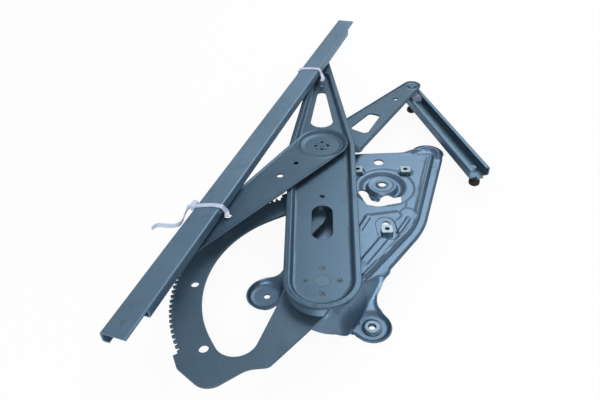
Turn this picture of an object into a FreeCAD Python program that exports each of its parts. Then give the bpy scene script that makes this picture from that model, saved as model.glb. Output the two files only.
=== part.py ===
import FreeCAD, Part
import math
import os
import Sketcher

# Window regulator: a pressed base plate carries a flanged main arm with a toothed sector on one
# pivot; a two-part balance arm crosses the main arm; both reach a lift rail, and the balance arm
# also runs in a guide channel. The part lies flat, as it is shipped. The origin is the axis of
# the motor's pilot bore in the base plate, +Z points up from the plate, and the main arm lies
# along +Y. Lengths are millimetres and angles degrees.

SIZES = [
    ("arm_reach", 219.0, "main pivot to the crossing pivot, and half of each arm"),
    ("arm_angle", 36.85, "angle between the two arms as shipped"),
    ("pivot_x", -69.6, "main pivot, sideways from the pilot bore"),
    ("pivot_y", -165.6, "main pivot, along the arm from the pilot bore"),
    ("arm_level", 19.0, "top of the main arm's web above the pilot datum"),
    ("arm_sheet", 2.5, "main arm sheet"),
    ("arm_rise", 3.6, "step from web to border on the main arm"),
    ("arm_band", 6.5, "flat border of the main arm"),
    ("arm_slope", 2.5, "plan width of the step beside the border"),
    ("arm_heel_radius", 36.5, "main arm round its pivot"),
    ("arm_waist_radius", 40.0, "main arm at the crossing pivot"),
    ("arm_tip_radius", 12.0, "main arm at the front slider"),
    ("arm_fork_end", 398.0, "end of the lower web between the fork's legs"),
    ("arm_slot_y", 82.0, "slot centre from the main pivot"),
    ("arm_slot_length", 53.0, "slot length"),
    ("arm_slot_width", 22.0, "slot width"),
    ("arm_window_low", 279.0, "centre of the wide end of the fork opening"),
    ("arm_window_high", 352.0, "centre of the narrow end of the fork opening"),
    ("arm_window_radius", 14.5, "wide end of the fork opening"),
    ("arm_window_tip", 6.0, "narrow end of the fork opening"),
    ("arm_pilot_y", 123.7, "locating hole above the slot"),
    ("arm_tip_hole_y", 376.6, "small hole near the tip"),
    ("small_hole_radius", 3.0, "locating holes"),
    ("large_hole_radius", 4.0, "tooling holes"),
    ("sector_sheet", 2.8, "sector plate"),
    ("sector_drop", 9.9, "sector's upper face below the arm web"),
    ("sector_margin", 3.5, "plain ends of the sector beyond the tooth tips"),
    ("sector_teeth", 150.0, "teeth of the full circle"),
    ("sector_tip_radius", 143.0, "tooth tips from the main pivot"),
    ("sector_tooth_depth", 4.2, "tooth depth"),
    ("sector_first", 108.0, "angle of the first tooth, from +X"),
    ("sector_gaps", 42.0, "tooth gaps"),
    ("sector_dish_radius", 26.0, "flat of the sector's raised seat"),
    ("sector_dish_foot", 34.0, "foot of the sector's raised seat"),
    ("rivet_circle", 16.0, "sector rivets from the main pivot"),
    ("sector_neck", 23.0, "sector plate beside its seat, from the main pivot"),
    ("sector_opening", 113.0, "outer arc of the sector's opening"),
    ("rivet_radius", 2.6, "rivet shank"),
    ("rivet_head_radius", 3.3, "rivet head"),
    ("rivet_head", 0.5, "rivet head height"),
    ("pivot_radius", 6.0, "main pivot shaft"),
    ("pivot_head_radius", 7.5, "main pivot's end in the arm"),
    ("running_gap", 0.05, "radial clearance of a shaft in its bore"),
    ("face_gap", 0.3, "clearance between moving faces"),
    ("ring_radius", 11.0, "retaining ring"),
    ("ring_seat_radius", 5.0, "retaining ring groove in the shaft"),
    ("ring_sheet", 1.2, "retaining ring"),
    ("pin_head", 1.5, "slider pin heads"),
    ("shoe_roof", 1.6, "slider wall beyond its pin"),
    ("stop_radius", 5.0, "rail stop"),
    ("stop_depth", 5.0, "rail stop inside the rail"),
    ("plate_sheet", 2.0, "base plate sheet"),
    ("plate_level", -1.0, "top of the base plate web"),
    ("plate_flange", 5.5, "depth of the base plate's edge flange"),
    ("plate_heel_radius", 36.0, "base plate round the main pivot"),
    ("plate_bend_radius", 110.0, "wide bend of the base plate's right edge"),
    ("ear_radius", 18.5, "right-hand ear of the base plate"),
    ("boss_rise", 7.0, "pivot boss above the web"),
    ("boss_radius", 20.0, "flat of the pivot boss"),
    ("boss_foot", 26.5, "foot of the pivot boss"),
    ("bush_radius", 11.0, "pivot bush shoulder"),
    ("bush_wall", 3.0, "pivot bush wall in the plate"),
    ("washer_sheet", 1.4, "pivot washer"),
    ("floor_level", -35.0, "underside of the feet"),
    ("pilot_radius", 4.5, "motor pilot bore"),
    ("pilot_wall", 3.0, "wall of the pilot collar"),
    ("pilot_pad_radius", 16.5, "raised pad round the pilot collar"),
    ("pilot_rim", 1.0, "collar above the raised pad"),
    ("trough_radius", 27.0, "mouth of the trough round the pilot pad"),
    ("trough_depth", 3.5, "trough floor below the web"),
    ("groove_radius", 35.5, "pressed line round the trough"),
    ("groove_width", 1.5, "width of that line"),
    ("groove_depth", 0.5, "pressed line and nut seats"),
    ("nut_seat_radius", 8.5, "seats of the upper weld nuts"),
    ("border_drop", 1.5, "base plate's border below its web"),
    ("border_width", 9.0, "border along the base plate's right edge"),
    ("bead_width", 6.0, "bead along the right edge"),
    ("bead_rise", 1.8, "height of that bead"),
    ("rim_rise", 2.5, "raised rim of the base plate's right-hand ear"),
    ("rib_rise", 1.3, "height of the stiffening ribs"),
    ("nut_circle", 39.7, "upper weld nuts from the pilot bore"),
    ("nut_right_angle", 42.0, "right-hand weld nut, from +X"),
    ("nut_left_angle", 133.0, "left-hand weld nut, from +X"),
    ("nut_lower_y", 78.5, "lower weld nut, below the pilot bore"),
    ("door_hole_radius", 3.3, "door bolt holes in the feet"),
    ("front_foot_x", 46.6, "front foot's hole, sideways from the main pivot"),
    ("front_foot_y", 13.8, "front foot's hole, below the main pivot"),
    ("side_foot_x", 57.8, "side foot's hole, left of the main pivot"),
    ("side_foot_y", 27.2, "side foot's hole, above the main pivot"),
    ("rear_foot_x", 139.0, "rear foot's hole, sideways from the main pivot"),
    ("rear_foot_y", 268.0, "rear foot's hole, above the main pivot"),
    ("front_foot_radius", 18.0, "front foot's pad"),
    ("foot_radius", 19.5, "the other feet's pads"),
    ("foot_slope", 15.0, "plan length of a foot's slope"),
    ("foot_edge", 5.0, "height of the hidden feet's turned-up edge"),
    ("clip_radius", 10.0, "push nut on the front foot"),
    ("front_foot_edge", 2.8, "height of the front foot's turned-up edge"),
    ("nut_width", 12.0, "square weld nut across flats"),
    ("nut_height", 5.0, "weld nut height"),
    ("nut_bore", 2.5, "weld nut thread, minor radius"),
    ("screw_clearance", 3.2, "hole radius for an M6 screw"),
    ("balance_sheet", 2.2, "balance arm, upper half"),
    ("balance_heel_radius", 31.5, "upper half at the crossing pivot"),
    ("balance_tip_radius", 13.5, "upper half at the rear slider"),
    ("dish_radius", 23.5, "floor of the upper half's dish"),
    ("dish_slope", 5.5, "plan width of the dish wall"),
    ("upper_pilot_y", 50.0, "locating hole of the upper half, from the crossing pivot"),
    ("upper_hole_near", 79.0, "first tooling hole of the upper half"),
    ("upper_hole_far", 164.0, "second tooling hole of the upper half"),
    ("lip_rise", 1.0, "raised edge of the upper half"),
    ("lip_width", 2.0, "width of the raised edge"),
    ("lower_sheet", 2.5, "balance arm, lower half"),
    ("lower_drop", 15.0, "lower half's top face below the arm web"),
    ("lower_heel_radius", 35.5, "lower half at the crossing pivot"),
    ("lower_tip_radius", 12.5, "lower half at the guide slider"),
    ("lower_flat", 36.0, "raised seat of the lower half"),
    ("lower_foot", 50.0, "foot of the lower half's raised seat"),
    ("lower_hole_y", 174.0, "tooling hole of the lower half, from the crossing pivot"),
    ("lower_lip", 2.0, "raised edge of the lower half"),
    ("lower_lip_width", 1.8, "width of that edge"),
    ("hub_radius", 12.0, "hub of the crossing pivot"),
    ("hub_rivet_circle", 7.5, "crossing rivets from the pivot"),
    ("hub_rivet_radius", 2.0, "crossing rivet shank"),
    ("pin_radius", 4.0, "slider pins"),
    ("pin_collar_radius", 6.5, "slider pin collar"),
    ("rail_width", 26.0, "lift rail width"),
    ("rail_height", 12.0, "lift rail depth"),
    ("rail_sheet", 1.5, "rail and guide sheet"),
    ("rail_bend", 2.0, "outer bend radius of rail and guide"),
    ("rail_slot", 12.0, "gap between the lift rail's lips"),
    ("rail_front", 129.0, "lift rail beyond the front slider"),
    ("rail_rear", 542.0, "lift rail behind the front slider"),
    ("rail_flange_rear", 508.0, "end of the right-hand wall behind the front slider"),
    ("rail_flange_front", 98.0, "end of the right-hand wall beyond the front slider"),
    ("rail_stop", 527.0, "rail stop behind the front slider"),
    ("shoe_length", 34.0, "slider length"),
    ("shoe_corner", 4.0, "slider's rounded corners"),
    ("shoe_neck_radius", 5.6, "slider neck"),
    ("guide_width", 26.5, "guide channel width"),
    ("guide_height", 12.0, "guide channel depth"),
    ("guide_drop", 4.5, "guide channel's lips below the lower half"),
    ("guide_slot", 15.0, "gap between the guide channel's lips"),
    ("guide_turn", 163.6, "guide channel's turn from +Y, clockwise, as shipped"),
    ("guide_near", 15.0, "guide channel beyond the slider"),
    ("guide_far", 205.0, "guide channel from the slider to its far end"),
    ("guide_neck_radius", 7.0, "guide slider neck"),
    ("stud_near", 6.0, "first stud from the guide slider"),
    ("bump_far", 190.0, "bump over the second stud, from the guide slider"),
    ("bump_radius", 7.0, "foot of that bump"),
    ("bump_rise", 3.5, "height of that bump"),
    ("tongue_length", 4.0, "tongue at the guide channel's far end"),
    ("stud_far", 193.0, "second stud from the guide slider"),
    ("stud_offset", 3.0, "second stud beside the guide's centre line"),
    ("stud_radius", 3.0, "guide stud"),
    ("cap_radius", 6.8, "stud cap"),
    ("cap_neck_radius", 4.6, "sleeve of the stud cap"),
    ("cap_height", 7.0, "stud cap height"),
]

doc = FreeCAD.newDocument("WindowRegulator")
sheet = doc.addObject("Spreadsheet::Sheet", "Sizes")
for row, (alias, number, meaning) in enumerate(SIZES, start=1):
    sheet.set(f"A{row}", meaning)
    sheet.set(f"B{row}", str(number))
    sheet.setAlias(f"B{row}", alias)
doc.recompute()


class Term:
    """A length or angle: its number now, and the expression that keeps it tied to the sheet."""

    def __init__(self, number, text):
        self.number = float(number)
        self.text = text

    def __add__(self, other):
        other = term(other)
        return Term(self.number + other.number, f"({self.text} + {other.text})")

    def __sub__(self, other):
        other = term(other)
        return Term(self.number - other.number, f"({self.text} - {other.text})")

    def __mul__(self, other):
        other = term(other)
        return Term(self.number * other.number, f"({self.text} * {other.text})")

    def __truediv__(self, other):
        other = term(other)
        return Term(self.number / other.number, f"({self.text} / {other.text})")

    def __neg__(self):
        return Term(-self.number, f"(0 - {self.text})")

    def __radd__(self, other):
        return term(other) + self

    def __rsub__(self, other):
        return term(other) - self

    def __rmul__(self, other):
        return term(other) * self


def term(value):
    """A plain number or a Term, as a Term."""
    if isinstance(value, Term):
        return value
    return Term(value, f"({float(value)})" if value < 0 else str(float(value)))


def size(alias):
    return Term(getattr(sheet, alias), f"Sizes.{alias}")


def sine(angle):
    return Term(math.sin(math.radians(angle.number)), f"sin({angle.text} * 1 deg)")


def cosine(angle):
    return Term(math.cos(math.radians(angle.number)), f"cos({angle.text} * 1 deg)")


def bind(thing, path, value):
    thing.setExpression(path, term(value).text)


def new_body(label):
    body = doc.addObject("PartDesign::Body", label)
    body.Label = label
    return body


def new_sketch(body, name, level=0.0, role="XY_Plane"):
    sketch = body.newObject("Sketcher::SketchObject", name)
    plane = [f for f in body.Origin.OriginFeatures if f.Role == role][0]
    sketch.AttachmentSupport = [(plane, "")]
    sketch.MapMode = "FlatFace"
    sketch.AttachmentOffset = FreeCAD.Placement(
        FreeCAD.Vector(0, 0, term(level).number), FreeCAD.Rotation())
    bind(sketch, "AttachmentOffset.Base.z", level)
    return sketch


def drive(sketch, kind, *where, value):
    """A dimension of the sketch, tied to its expression."""
    value = term(value)
    index = sketch.addConstraint(Sketcher.Constraint(kind, *where, value.number))
    sketch.setExpression(f"Constraints[{index}]", value.text)


def pin_point(sketch, geometry, point, x, y):
    """Fix a point of the sketch at x, y from its origin."""
    for kind, value, axis in (("DistanceX", x, -2), ("DistanceY", y, -1)):
        if abs(term(value).number) < 1e-9:
            sketch.addConstraint(Sketcher.Constraint("PointOnObject", geometry, point, axis))
        else:
            drive(sketch, kind, -1, 1, geometry, point, value=value)


def add_circle(sketch, x, y, radius):
    centre = FreeCAD.Vector(term(x).number, term(y).number, 0)
    index = sketch.addGeometry(
        Part.Circle(centre, FreeCAD.Vector(0, 0, 1), term(radius).number), False)
    pin_point(sketch, index, 3, x, y)
    drive(sketch, "Radius", index, value=radius)


def add_polygon(sketch, points):
    """A closed outline of straight edges through the given corners."""
    corners = [FreeCAD.Vector(term(x).number, term(y).number, 0) for x, y in points]
    first = sketch.GeometryCount
    count = len(corners)
    for i in range(count):
        sketch.addGeometry(Part.LineSegment(corners[i], corners[(i + 1) % count]), False)
    for i in range(count):
        following = first + (i + 1) % count
        sketch.addConstraint(Sketcher.Constraint("Coincident", first + i, 2, following, 1))
        pin_point(sketch, first + i, 1, *points[i])


def belt_points(circles):
    """Where a belt round the circles, taken anticlockwise, leaves one and meets the next.
    A circle of negative radius is passed on its other side, and makes a hollow corner."""
    runs = []
    for i, (x1, y1, r1) in enumerate(circles):
        x2, y2, r2 = circles[(i + 1) % len(circles)]
        span = math.hypot(x2 - x1, y2 - y1)
        along = ((x2 - x1) / span, (y2 - y1) / span)
        lean = (r1 - r2) / span
        side = math.sqrt(1 - lean * lean)
        normal = (along[1] * side + along[0] * lean, -along[0] * side + along[1] * lean)
        runs.append(((x1 + r1 * normal[0], y1 + r1 * normal[1]),
                     (x2 + r2 * normal[0], y2 + r2 * normal[1])))
    return runs


def add_belt(sketch, circles):
    """A closed outline: arcs of the given circles joined by the straight lines that touch them."""
    plain = [tuple(term(value).number for value in circle) for circle in circles]
    runs = belt_points(plain)
    first = sketch.GeometryCount
    count = len(circles)
    for i, (x, y, radius) in enumerate(plain):
        start = runs[i - 1][1]
        end = runs[i][0]
        angles = [math.atan2(p[1] - y, p[0] - x) for p in (start, end)]
        if radius < 0:
            angles.reverse()
        circle = Part.Circle(FreeCAD.Vector(x, y, 0), FreeCAD.Vector(0, 0, 1), abs(radius))
        sketch.addGeometry(Part.ArcOfCircle(circle, *angles), False)
        sketch.addGeometry(Part.LineSegment(
            FreeCAD.Vector(*runs[i][0], 0), FreeCAD.Vector(*runs[i][1], 0)), False)
    for i in range(count):
        arc = first + 2 * i
        line = arc + 1
        following = first + 2 * ((i + 1) % count)
        leave = 2 if plain[i][2] > 0 else 1
        meet = 1 if plain[(i + 1) % count][2] > 0 else 2
        sketch.addConstraint(Sketcher.Constraint("Tangent", arc, leave, line, 1))
        sketch.addConstraint(Sketcher.Constraint("Tangent", line, 2, following, meet))
        x, y, radius = circles[i]
        pin_point(sketch, arc, 3, x, y)
        drive(sketch, "Radius", arc, value=radius if plain[i][2] > 0 else -term(radius))


def grown(circles, amount):
    """The same belt, moved outwards by an amount."""
    return [(x, y, term(radius) + amount) for x, y, radius in circles]


def pad(body, sketch, length, reverse=False):
    feature = body.newObject("PartDesign::Pad", sketch.Name + "Pad")
    feature.Profile = sketch
    feature.Reversed = reverse
    feature.Length = term(length).number
    bind(feature, "Length", length)
    return feature


def pocket(body, sketch, length, upward=False):
    feature = body.newObject("PartDesign::Pocket", sketch.Name + "Pocket")
    feature.Profile = sketch
    feature.Reversed = upward
    feature.Length = term(length).number
    bind(feature, "Length", length)
    return feature


def loft(body, kind, sketches):
    feature = body.newObject(kind, sketches[0].Name + "Loft")
    feature.Profile = sketches[0]
    feature.Sections = sketches[1:]
    feature.Ruled = True
    return feature


def revolve(body, sketch):
    """A full turn of the sketch about the body's own vertical axis."""
    feature = body.newObject("PartDesign::Revolution", sketch.Name + "Turn")
    feature.Profile = sketch
    feature.ReferenceAxis = (sketch, ["V_Axis"])
    feature.Angle = 360
    return feature


def add_ring_piece(sketch, inner, outer, start, end):
    """A piece of a ring about the origin between two angles."""
    radii = [term(inner), term(outer)]
    angles = [term(start), term(end)]
    arcs = []
    for radius in radii:
        circle = Part.Circle(FreeCAD.Vector(0, 0, 0), FreeCAD.Vector(0, 0, 1), radius.number)
        ends = [math.radians(angle.number) for angle in angles]
        arc = sketch.addGeometry(Part.ArcOfCircle(circle, *ends), False)
        sketch.addConstraint(Sketcher.Constraint("Coincident", arc, 3, -1, 1))
        drive(sketch, "Radius", arc, value=radius)
        arcs.append(arc)
    for k, angle in enumerate(angles):
        across = cosine(angle)
        points = [FreeCAD.Vector(radius.number * across.number,
                                 radius.number * sine(angle).number, 0) for radius in radii]
        line = sketch.addGeometry(Part.LineSegment(*points), False)
        for i, radius in enumerate(radii):
            sketch.addConstraint(Sketcher.Constraint("Coincident", line, i + 1, arcs[i], k + 1))
            drive(sketch, "DistanceX", -1, 1, line, i + 1, value=radius * across)


def turned(label, profile, x=0.0, y=0.0):
    """A round piece: a half outline of (radius, height) corners turned about the vertical at x, y."""
    piece = new_body(label)
    sketch = new_sketch(piece, f"{label}Profile", role="XZ_Plane")
    add_polygon(sketch, profile)
    revolve(piece, sketch)
    settle(piece, x, y, 0.0)
    return piece


def group(label, things):
    """Several separate solids under one name."""
    together = doc.addObject("Part::Compound", label)
    together.Label = label
    together.Links = things
    return together


def fuse(label, things):
    joined = doc.addObject("Part::MultiFuse", label)
    joined.Label = label
    joined.Shapes = things
    return joined


def common(label, things):
    shared = doc.addObject("Part::MultiCommon", label)
    shared.Shapes = things
    return shared


def cut(label, base, tool):
    remainder = doc.addObject("Part::Cut", label)
    remainder.Base = base
    remainder.Tool = tool
    return remainder


def settle(thing, x, y, z, turn=0.0):
    """Set a thing's own origin at x, y, z and turn it anticlockwise about +Z."""
    turn = term(turn)
    base = [term(value) for value in (x, y, z)]
    thing.Placement = FreeCAD.Placement(
        FreeCAD.Vector(*[value.number for value in base]),
        FreeCAD.Rotation(FreeCAD.Vector(0, 0, 1), turn.number))
    for axis, value in zip("xyz", base):
        bind(thing, f"Placement.Base.{axis}", value)
    if abs(turn.number) > 1e-9:
        thing.setExpression("Placement.Rotation.Angle", f"{turn.text} * 1 deg")


def place(thing, x, y, z, turn=0.0):
    """Settle a finished sub-part, and list it."""
    settle(thing, x, y, z, turn)
    parts.append(thing)


parts = []

# Places of the pivots in plan and heights of the sheets, from the sizes above.
pivot = (size("pivot_x"), size("pivot_y"))
cross = (pivot[0], pivot[1] + size("arm_reach"))
tip = (cross[0], cross[1] + size("arm_reach"))
lower_turn = -size("arm_angle")
upper_turn = 180.0 - size("arm_angle")
rail_turn = -size("arm_angle") / 2.0
rear = (cross[0] - size("arm_reach") * sine(size("arm_angle")),
        cross[1] - size("arm_reach") * cosine(size("arm_angle")))
runner = (cross[0] + size("arm_reach") * sine(size("arm_angle")),
          cross[1] + size("arm_reach") * cosine(size("arm_angle")))
guide_turn = -size("guide_turn")

web_top = size("arm_level")
web_low = web_top - size("arm_sheet")
band_top = web_top + size("arm_rise")
band_low = band_top - size("arm_sheet")
sector_top = web_top - size("sector_drop")
sector_low = sector_top - size("sector_sheet")
upper_floor = web_top + size("face_gap")
upper_low = band_top + size("face_gap")
upper_top = upper_low + size("balance_sheet")
rail_low = upper_top + size("lip_rise") + size("face_gap")
lower_top = web_top - size("lower_drop")
lower_low = lower_top - size("lower_sheet")
seat_low = web_low - size("face_gap") - size("lower_sheet")
guide_top = lower_low - size("guide_drop")
guide_low = guide_top - size("guide_height")

boss_top = size("plate_level") + size("boss_rise")
plate_low = size("plate_level") - size("plate_sheet")
bush_low = boss_top - size("plate_sheet") - 2.5
washer_low = web_low - size("sector_sheet") - size("face_gap") - size("washer_sheet")

# Stock beyond an outline, so that a cut clears it.
BLANK_MARGIN = 5.0

# Where the small fasteners sit: from the main pivot, from the crossing pivot, from the pilot bore.
RIVET_PLACES = [(size("rivet_circle") * x, size("rivet_circle") * y)
                for x, y in ((1.0, 0.0), (0.0, 1.0), (-1.0, 0.0), (0.0, -1.0))]
HUB_PLACES = [(0.0, 0.0)] + [(size("hub_rivet_circle") * x, size("hub_rivet_circle") * y)
                             for x, y in ((0.8, 0.6), (-0.6, 0.8), (-0.8, -0.6), (0.6, -0.8))]
NUT_PLACES = [
    (size("nut_circle") * cosine(size("nut_right_angle")),
     size("nut_circle") * sine(size("nut_right_angle"))),
    (size("nut_circle") * cosine(size("nut_left_angle")),
     size("nut_circle") * sine(size("nut_left_angle"))),
    (-1.4, -size("nut_lower_y")),
]
# Stiffening ribs of the base plate: centre, half length, angle from +X and half width.
RIBS = [
    (-25.0, -65.5, 10.0, 63.5, 3.0),
    (-13.0, -109.5, 20.5, 47.3, 4.5),
    (17.5, -69.0, 12.0, 60.0, 2.2),
]

# Main arm: one sheet whose web lies lower than its flat border, joined by a sloped step.
ARM_OUTLINE = [
    (0.0, 0.0, size("arm_heel_radius")),
    (0.0, size("arm_reach"), size("arm_waist_radius")),
    (0.0, size("arm_reach") * 2.0, size("arm_tip_radius")),
    (0.0, size("arm_reach"), size("arm_waist_radius")),
]
# The web runs between the fork's legs and ends below the tip, which lies at the border's height.
fork_reach = size("arm_fork_end") - size("arm_reach")
fork_end_radius = (size("arm_waist_radius") - size("arm_band")
                   - (size("arm_waist_radius") - size("arm_tip_radius"))
                   * fork_reach / size("arm_reach"))
web_waist = (0.0, size("arm_reach"), size("arm_waist_radius") - size("arm_band"))
RECESS = [
    (0.0, 0.0, size("arm_heel_radius") - size("arm_band")),
    web_waist,
    (0.0, size("arm_fork_end"), fork_end_radius),
    web_waist,
]

body = new_body("main_arm")
arm_height = size("arm_sheet") + size("arm_rise")
blank = new_sketch(body, "ArmBlank")
add_belt(blank, ARM_OUTLINE)
pad(body, blank, arm_height)
recess_top = new_sketch(body, "ArmRecessTop", arm_height)
add_belt(recess_top, RECESS)
recess_floor = new_sketch(body, "ArmRecessFloor", size("arm_sheet"))
add_belt(recess_floor, grown(RECESS, -size("arm_slope")))
loft(body, "PartDesign::SubtractiveLoft", [recess_top, recess_floor])
border_under = new_sketch(body, "ArmBorderUnder")
add_belt(border_under, grown(ARM_OUTLINE, BLANK_MARGIN))
add_belt(border_under, RECESS)
pocket(body, border_under, size("arm_rise"), upward=True)
openings = new_sketch(body, "ArmOpenings", arm_height)
slot_end = (size("arm_slot_length") - size("arm_slot_width")) / 2.0
add_belt(openings, [
    (0.0, size("arm_slot_y") - slot_end, size("arm_slot_width") / 2.0),
    (0.0, size("arm_slot_y") + slot_end, size("arm_slot_width") / 2.0),
])
add_belt(openings, [
    (0.0, size("arm_window_low"), size("arm_window_radius")),
    (0.0, size("arm_window_high"), size("arm_window_tip")),
])
add_circle(openings, 0.0, size("arm_pilot_y"), size("small_hole_radius"))
add_circle(openings, 0.0, size("arm_tip_hole_y"), size("small_hole_radius"))
add_circle(openings, 0.0, size("arm_reach"), size("hub_radius") + size("running_gap"))
add_circle(openings, 0.0, 0.0, size("pivot_head_radius"))
add_circle(openings, 0.0, size("arm_reach") * 2.0, size("pin_radius"))
for x, y in RIVET_PLACES:
    add_circle(openings, x, y, size("rivet_radius"))
pocket(body, openings, arm_height)
place(body, *pivot, web_low)

# Sector: a flat plate with a raised seat under the arm, blanked to a crescent and toothed.
body = new_body("sector_gear")
sector_height = web_low - sector_low
plate_profile = new_sketch(body, "SectorProfile", role="XZ_Plane")
slope_inset = size("sector_sheet") * 0.6
sector_edge = size("sector_tip_radius") + BLANK_MARGIN * 2.0
add_polygon(plate_profile, [
    (size("pivot_head_radius"), sector_height - size("sector_sheet")),
    (size("sector_dish_radius") - slope_inset, sector_height - size("sector_sheet")),
    (size("sector_dish_foot") - slope_inset, 0.0),
    (sector_edge, 0.0),
    (sector_edge, size("sector_sheet")),
    (size("sector_dish_foot"), size("sector_sheet")),
    (size("sector_dish_radius"), sector_height),
    (size("pivot_head_radius"), sector_height),
])
revolve(body, plate_profile)
shoulder = size("sector_tip_radius") + size("sector_margin")
outline = new_sketch(body, "SectorOutline", sector_height)
add_circle(outline, 0.0, 0.0, sector_edge + BLANK_MARGIN)
add_belt(outline, [
    (0.0, 0.0, shoulder),
    (-115.5, -81.0, 8.0),
    (-93.5, -87.0, 17.5),
    (-54.0, -111.0, -24.6),
    (-48.5, -77.7, 8.0),
    (0.0, 0.0, size("sector_neck")),
    (-2.0, 66.5, -12.0),
    (-21.0, 104.0, 25.0),
    (-36.0, 131.0, 12.5),
])
pocket(body, outline, sector_height)
crescent = new_sketch(body, "SectorCrescent", sector_height)
add_belt(crescent, [
    (0.0, 0.0, size("sector_opening")),
    (-75.0, -55.8, 20.0),
    (-42.0, -2.0, 6.5),
    (-36.5, 97.5, 10.0),
])
pocket(body, crescent, sector_height)
light_holes = new_sketch(body, "SectorHoles", sector_height)
add_circle(light_holes, -122.0, 7.0, size("large_hole_radius"))
add_circle(light_holes, -102.0, -67.0, 4.5)
for x, y in RIVET_PLACES:
    add_circle(light_holes, x, y, size("rivet_radius"))
pocket(body, light_holes, sector_height)
# The toothed stretch is cut back to the tooth tips, then one gap is cut and repeated round it.
pitch_angle = term(360.0) / size("sector_teeth")
last_tooth = size("sector_first") + pitch_angle * (size("sector_gaps") + 0.6)
trim = new_sketch(body, "SectorTrim", size("sector_sheet"))
add_ring_piece(trim, size("sector_tip_radius"), sector_edge, size("sector_first"), last_tooth)
pocket(body, trim, size("sector_sheet"))
gap = new_sketch(body, "ToothGap", size("sector_sheet"))
tooth_start = size("sector_first") + pitch_angle * 0.8
gap_mouth = 2.4
gap_root = 0.75
gap.AttachmentOffset = FreeCAD.Placement(
    FreeCAD.Vector(0, 0, size("sector_sheet").number),
    FreeCAD.Rotation(FreeCAD.Vector(0, 0, 1), tooth_start.number - 90.0))
add_polygon(gap, [
    (-gap_root, size("sector_tip_radius") - size("sector_tooth_depth")),
    (gap_root, size("sector_tip_radius") - size("sector_tooth_depth")),
    (gap_mouth, size("sector_tip_radius") + 0.4),
    (-gap_mouth, size("sector_tip_radius") + 0.4),
])
gap_cut = pocket(body, gap, size("sector_sheet"))
teeth = body.newObject("PartDesign::PolarPattern", "Teeth")
teeth.Originals = [gap_cut]
teeth.Axis = (gap, ["N_Axis"])
bind(teeth, "Angle", pitch_angle * (size("sector_gaps") - 1.0))
bind(teeth, "Occurrences", size("sector_gaps"))
body.Tip = teeth
place(body, *pivot, sector_low)

# Sector rivets: four shanks through arm and sector, domed on the arm side.
rivet_length = web_top - (web_low - size("sector_sheet"))
rivets = [turned(f"sector_rivet_{k + 1}", [
    (0.0, 0.0),
    (size("rivet_radius"), 0.0),
    (size("rivet_radius"), rivet_length),
    (size("rivet_head_radius"), rivet_length),
    (size("rivet_head_radius") - size("rivet_head"), rivet_length + size("rivet_head")),
    (0.0, rivet_length + size("rivet_head")),
], x, y) for k, (x, y) in enumerate(RIVET_PLACES)]
place(group("sector_rivets", rivets), *pivot, web_low - size("sector_sheet"))

# Main pivot: a stepped shaft staked flush in the arm, turning in the base plate's bush.
shaft_chamfer = 0.6
shaft_low = size("plate_level") + size("face_gap")
shoulder_height = web_low - size("sector_sheet") - shaft_low
ring_level = bush_low - size("face_gap") - size("ring_sheet") - shaft_low
pivot_shaft = turned("main_pivot", [
    (0.0, 0.0),
    (size("pivot_radius") - shaft_chamfer, 0.0),
    (size("pivot_radius"), shaft_chamfer),
    (size("pivot_radius"), ring_level),
    (size("ring_seat_radius"), ring_level),
    (size("ring_seat_radius"), ring_level + size("ring_sheet")),
    (size("pivot_radius"), ring_level + size("ring_sheet")),
    (size("pivot_radius"), shoulder_height),
    (size("pivot_head_radius"), shoulder_height),
    (size("pivot_head_radius"), web_top - shaft_low),
    (0.0, web_top - shaft_low),
])
place(pivot_shaft, *pivot, shaft_low)
pivot_ring = turned("pivot_ring", [
    (size("ring_seat_radius"), 0.0),
    (size("ring_radius"), 0.0),
    (size("ring_radius"), size("ring_sheet")),
    (size("ring_seat_radius"), size("ring_sheet")),
])
place(pivot_ring, *pivot, shaft_low + ring_level)

# Pivot bush and washer: the bush sits in the plate's boss and carries the washer under the arm.
bush_bore = size("pivot_radius") + size("running_gap")
bush_neck = bush_bore + size("bush_wall")
seat_height = boss_top - bush_low
pivot_bush = turned("pivot_bush", [
    (bush_bore, 0.0),
    (bush_neck, 0.0),
    (bush_neck, seat_height),
    (size("bush_radius"), seat_height),
    (size("bush_radius"), washer_low - bush_low),
    (bush_bore, washer_low - bush_low),
])
place(pivot_bush, *pivot, bush_low)
pivot_washer = turned("pivot_washer", [
    (bush_bore, 0.0),
    (size("bush_radius"), 0.0),
    (size("bush_radius"), size("washer_sheet")),
    (bush_bore, size("washer_sheet")),
])
place(pivot_washer, *pivot, washer_low)

# Base plate web: a sheet with a lower border and an edge flange, a pivot boss, and a pilot pad
# that stands in a round trough, cut open by the drive window.
PLATE_OUTLINE = [
    (*pivot, size("plate_heel_radius")),
    (-5.9, -152.9, -12.0),
    (-59.6, -20.4, size("plate_bend_radius")),
    (61.5, 62.5, size("ear_radius")),
    (34.0, 85.0, -13.0),
    (-39.6, 60.4, 10.0),
    (pivot[0] - 16.0, -105.6, 14.0),
]
edge_bend = (-59.6, -20.4, size("plate_bend_radius") - size("border_width"))
PLATE_WEB = [
    (*pivot, size("plate_heel_radius") - 5.0),
    (-18.0, -147.7, -10.0),
    edge_bend,
    (59.0, 62.5, size("ear_radius") - 8.5),
    (34.0, 85.0, -16.5),
    (-39.6, 60.4, 6.5),
    (pivot[0] - 16.0, -105.6, 10.5),
]
bead_end = size("bead_width") / 2.0
BEAD = [
    (-28.8, -140.3, bead_end),
    edge_bend,
    (65.7, 60.6, bead_end),
    (edge_bend[0], edge_bend[1], size("bead_width") - edge_bend[2]),
]
DRIVE_WINDOW = [
    (-26.5, -9.5, 2.0),
    (-17.0, -30.5, 3.5),
    (-7.0, -32.0, 4.8),
    (8.0, -44.5, -11.0),
    (17.0, -28.5, 2.5),
    (17.5, -17.0, 2.5),
    (-2.3, -19.4, 1.2),
    (-8.6, -18.5, -4.5),
    (-21.5, -3.5, 2.0),
]
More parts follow.
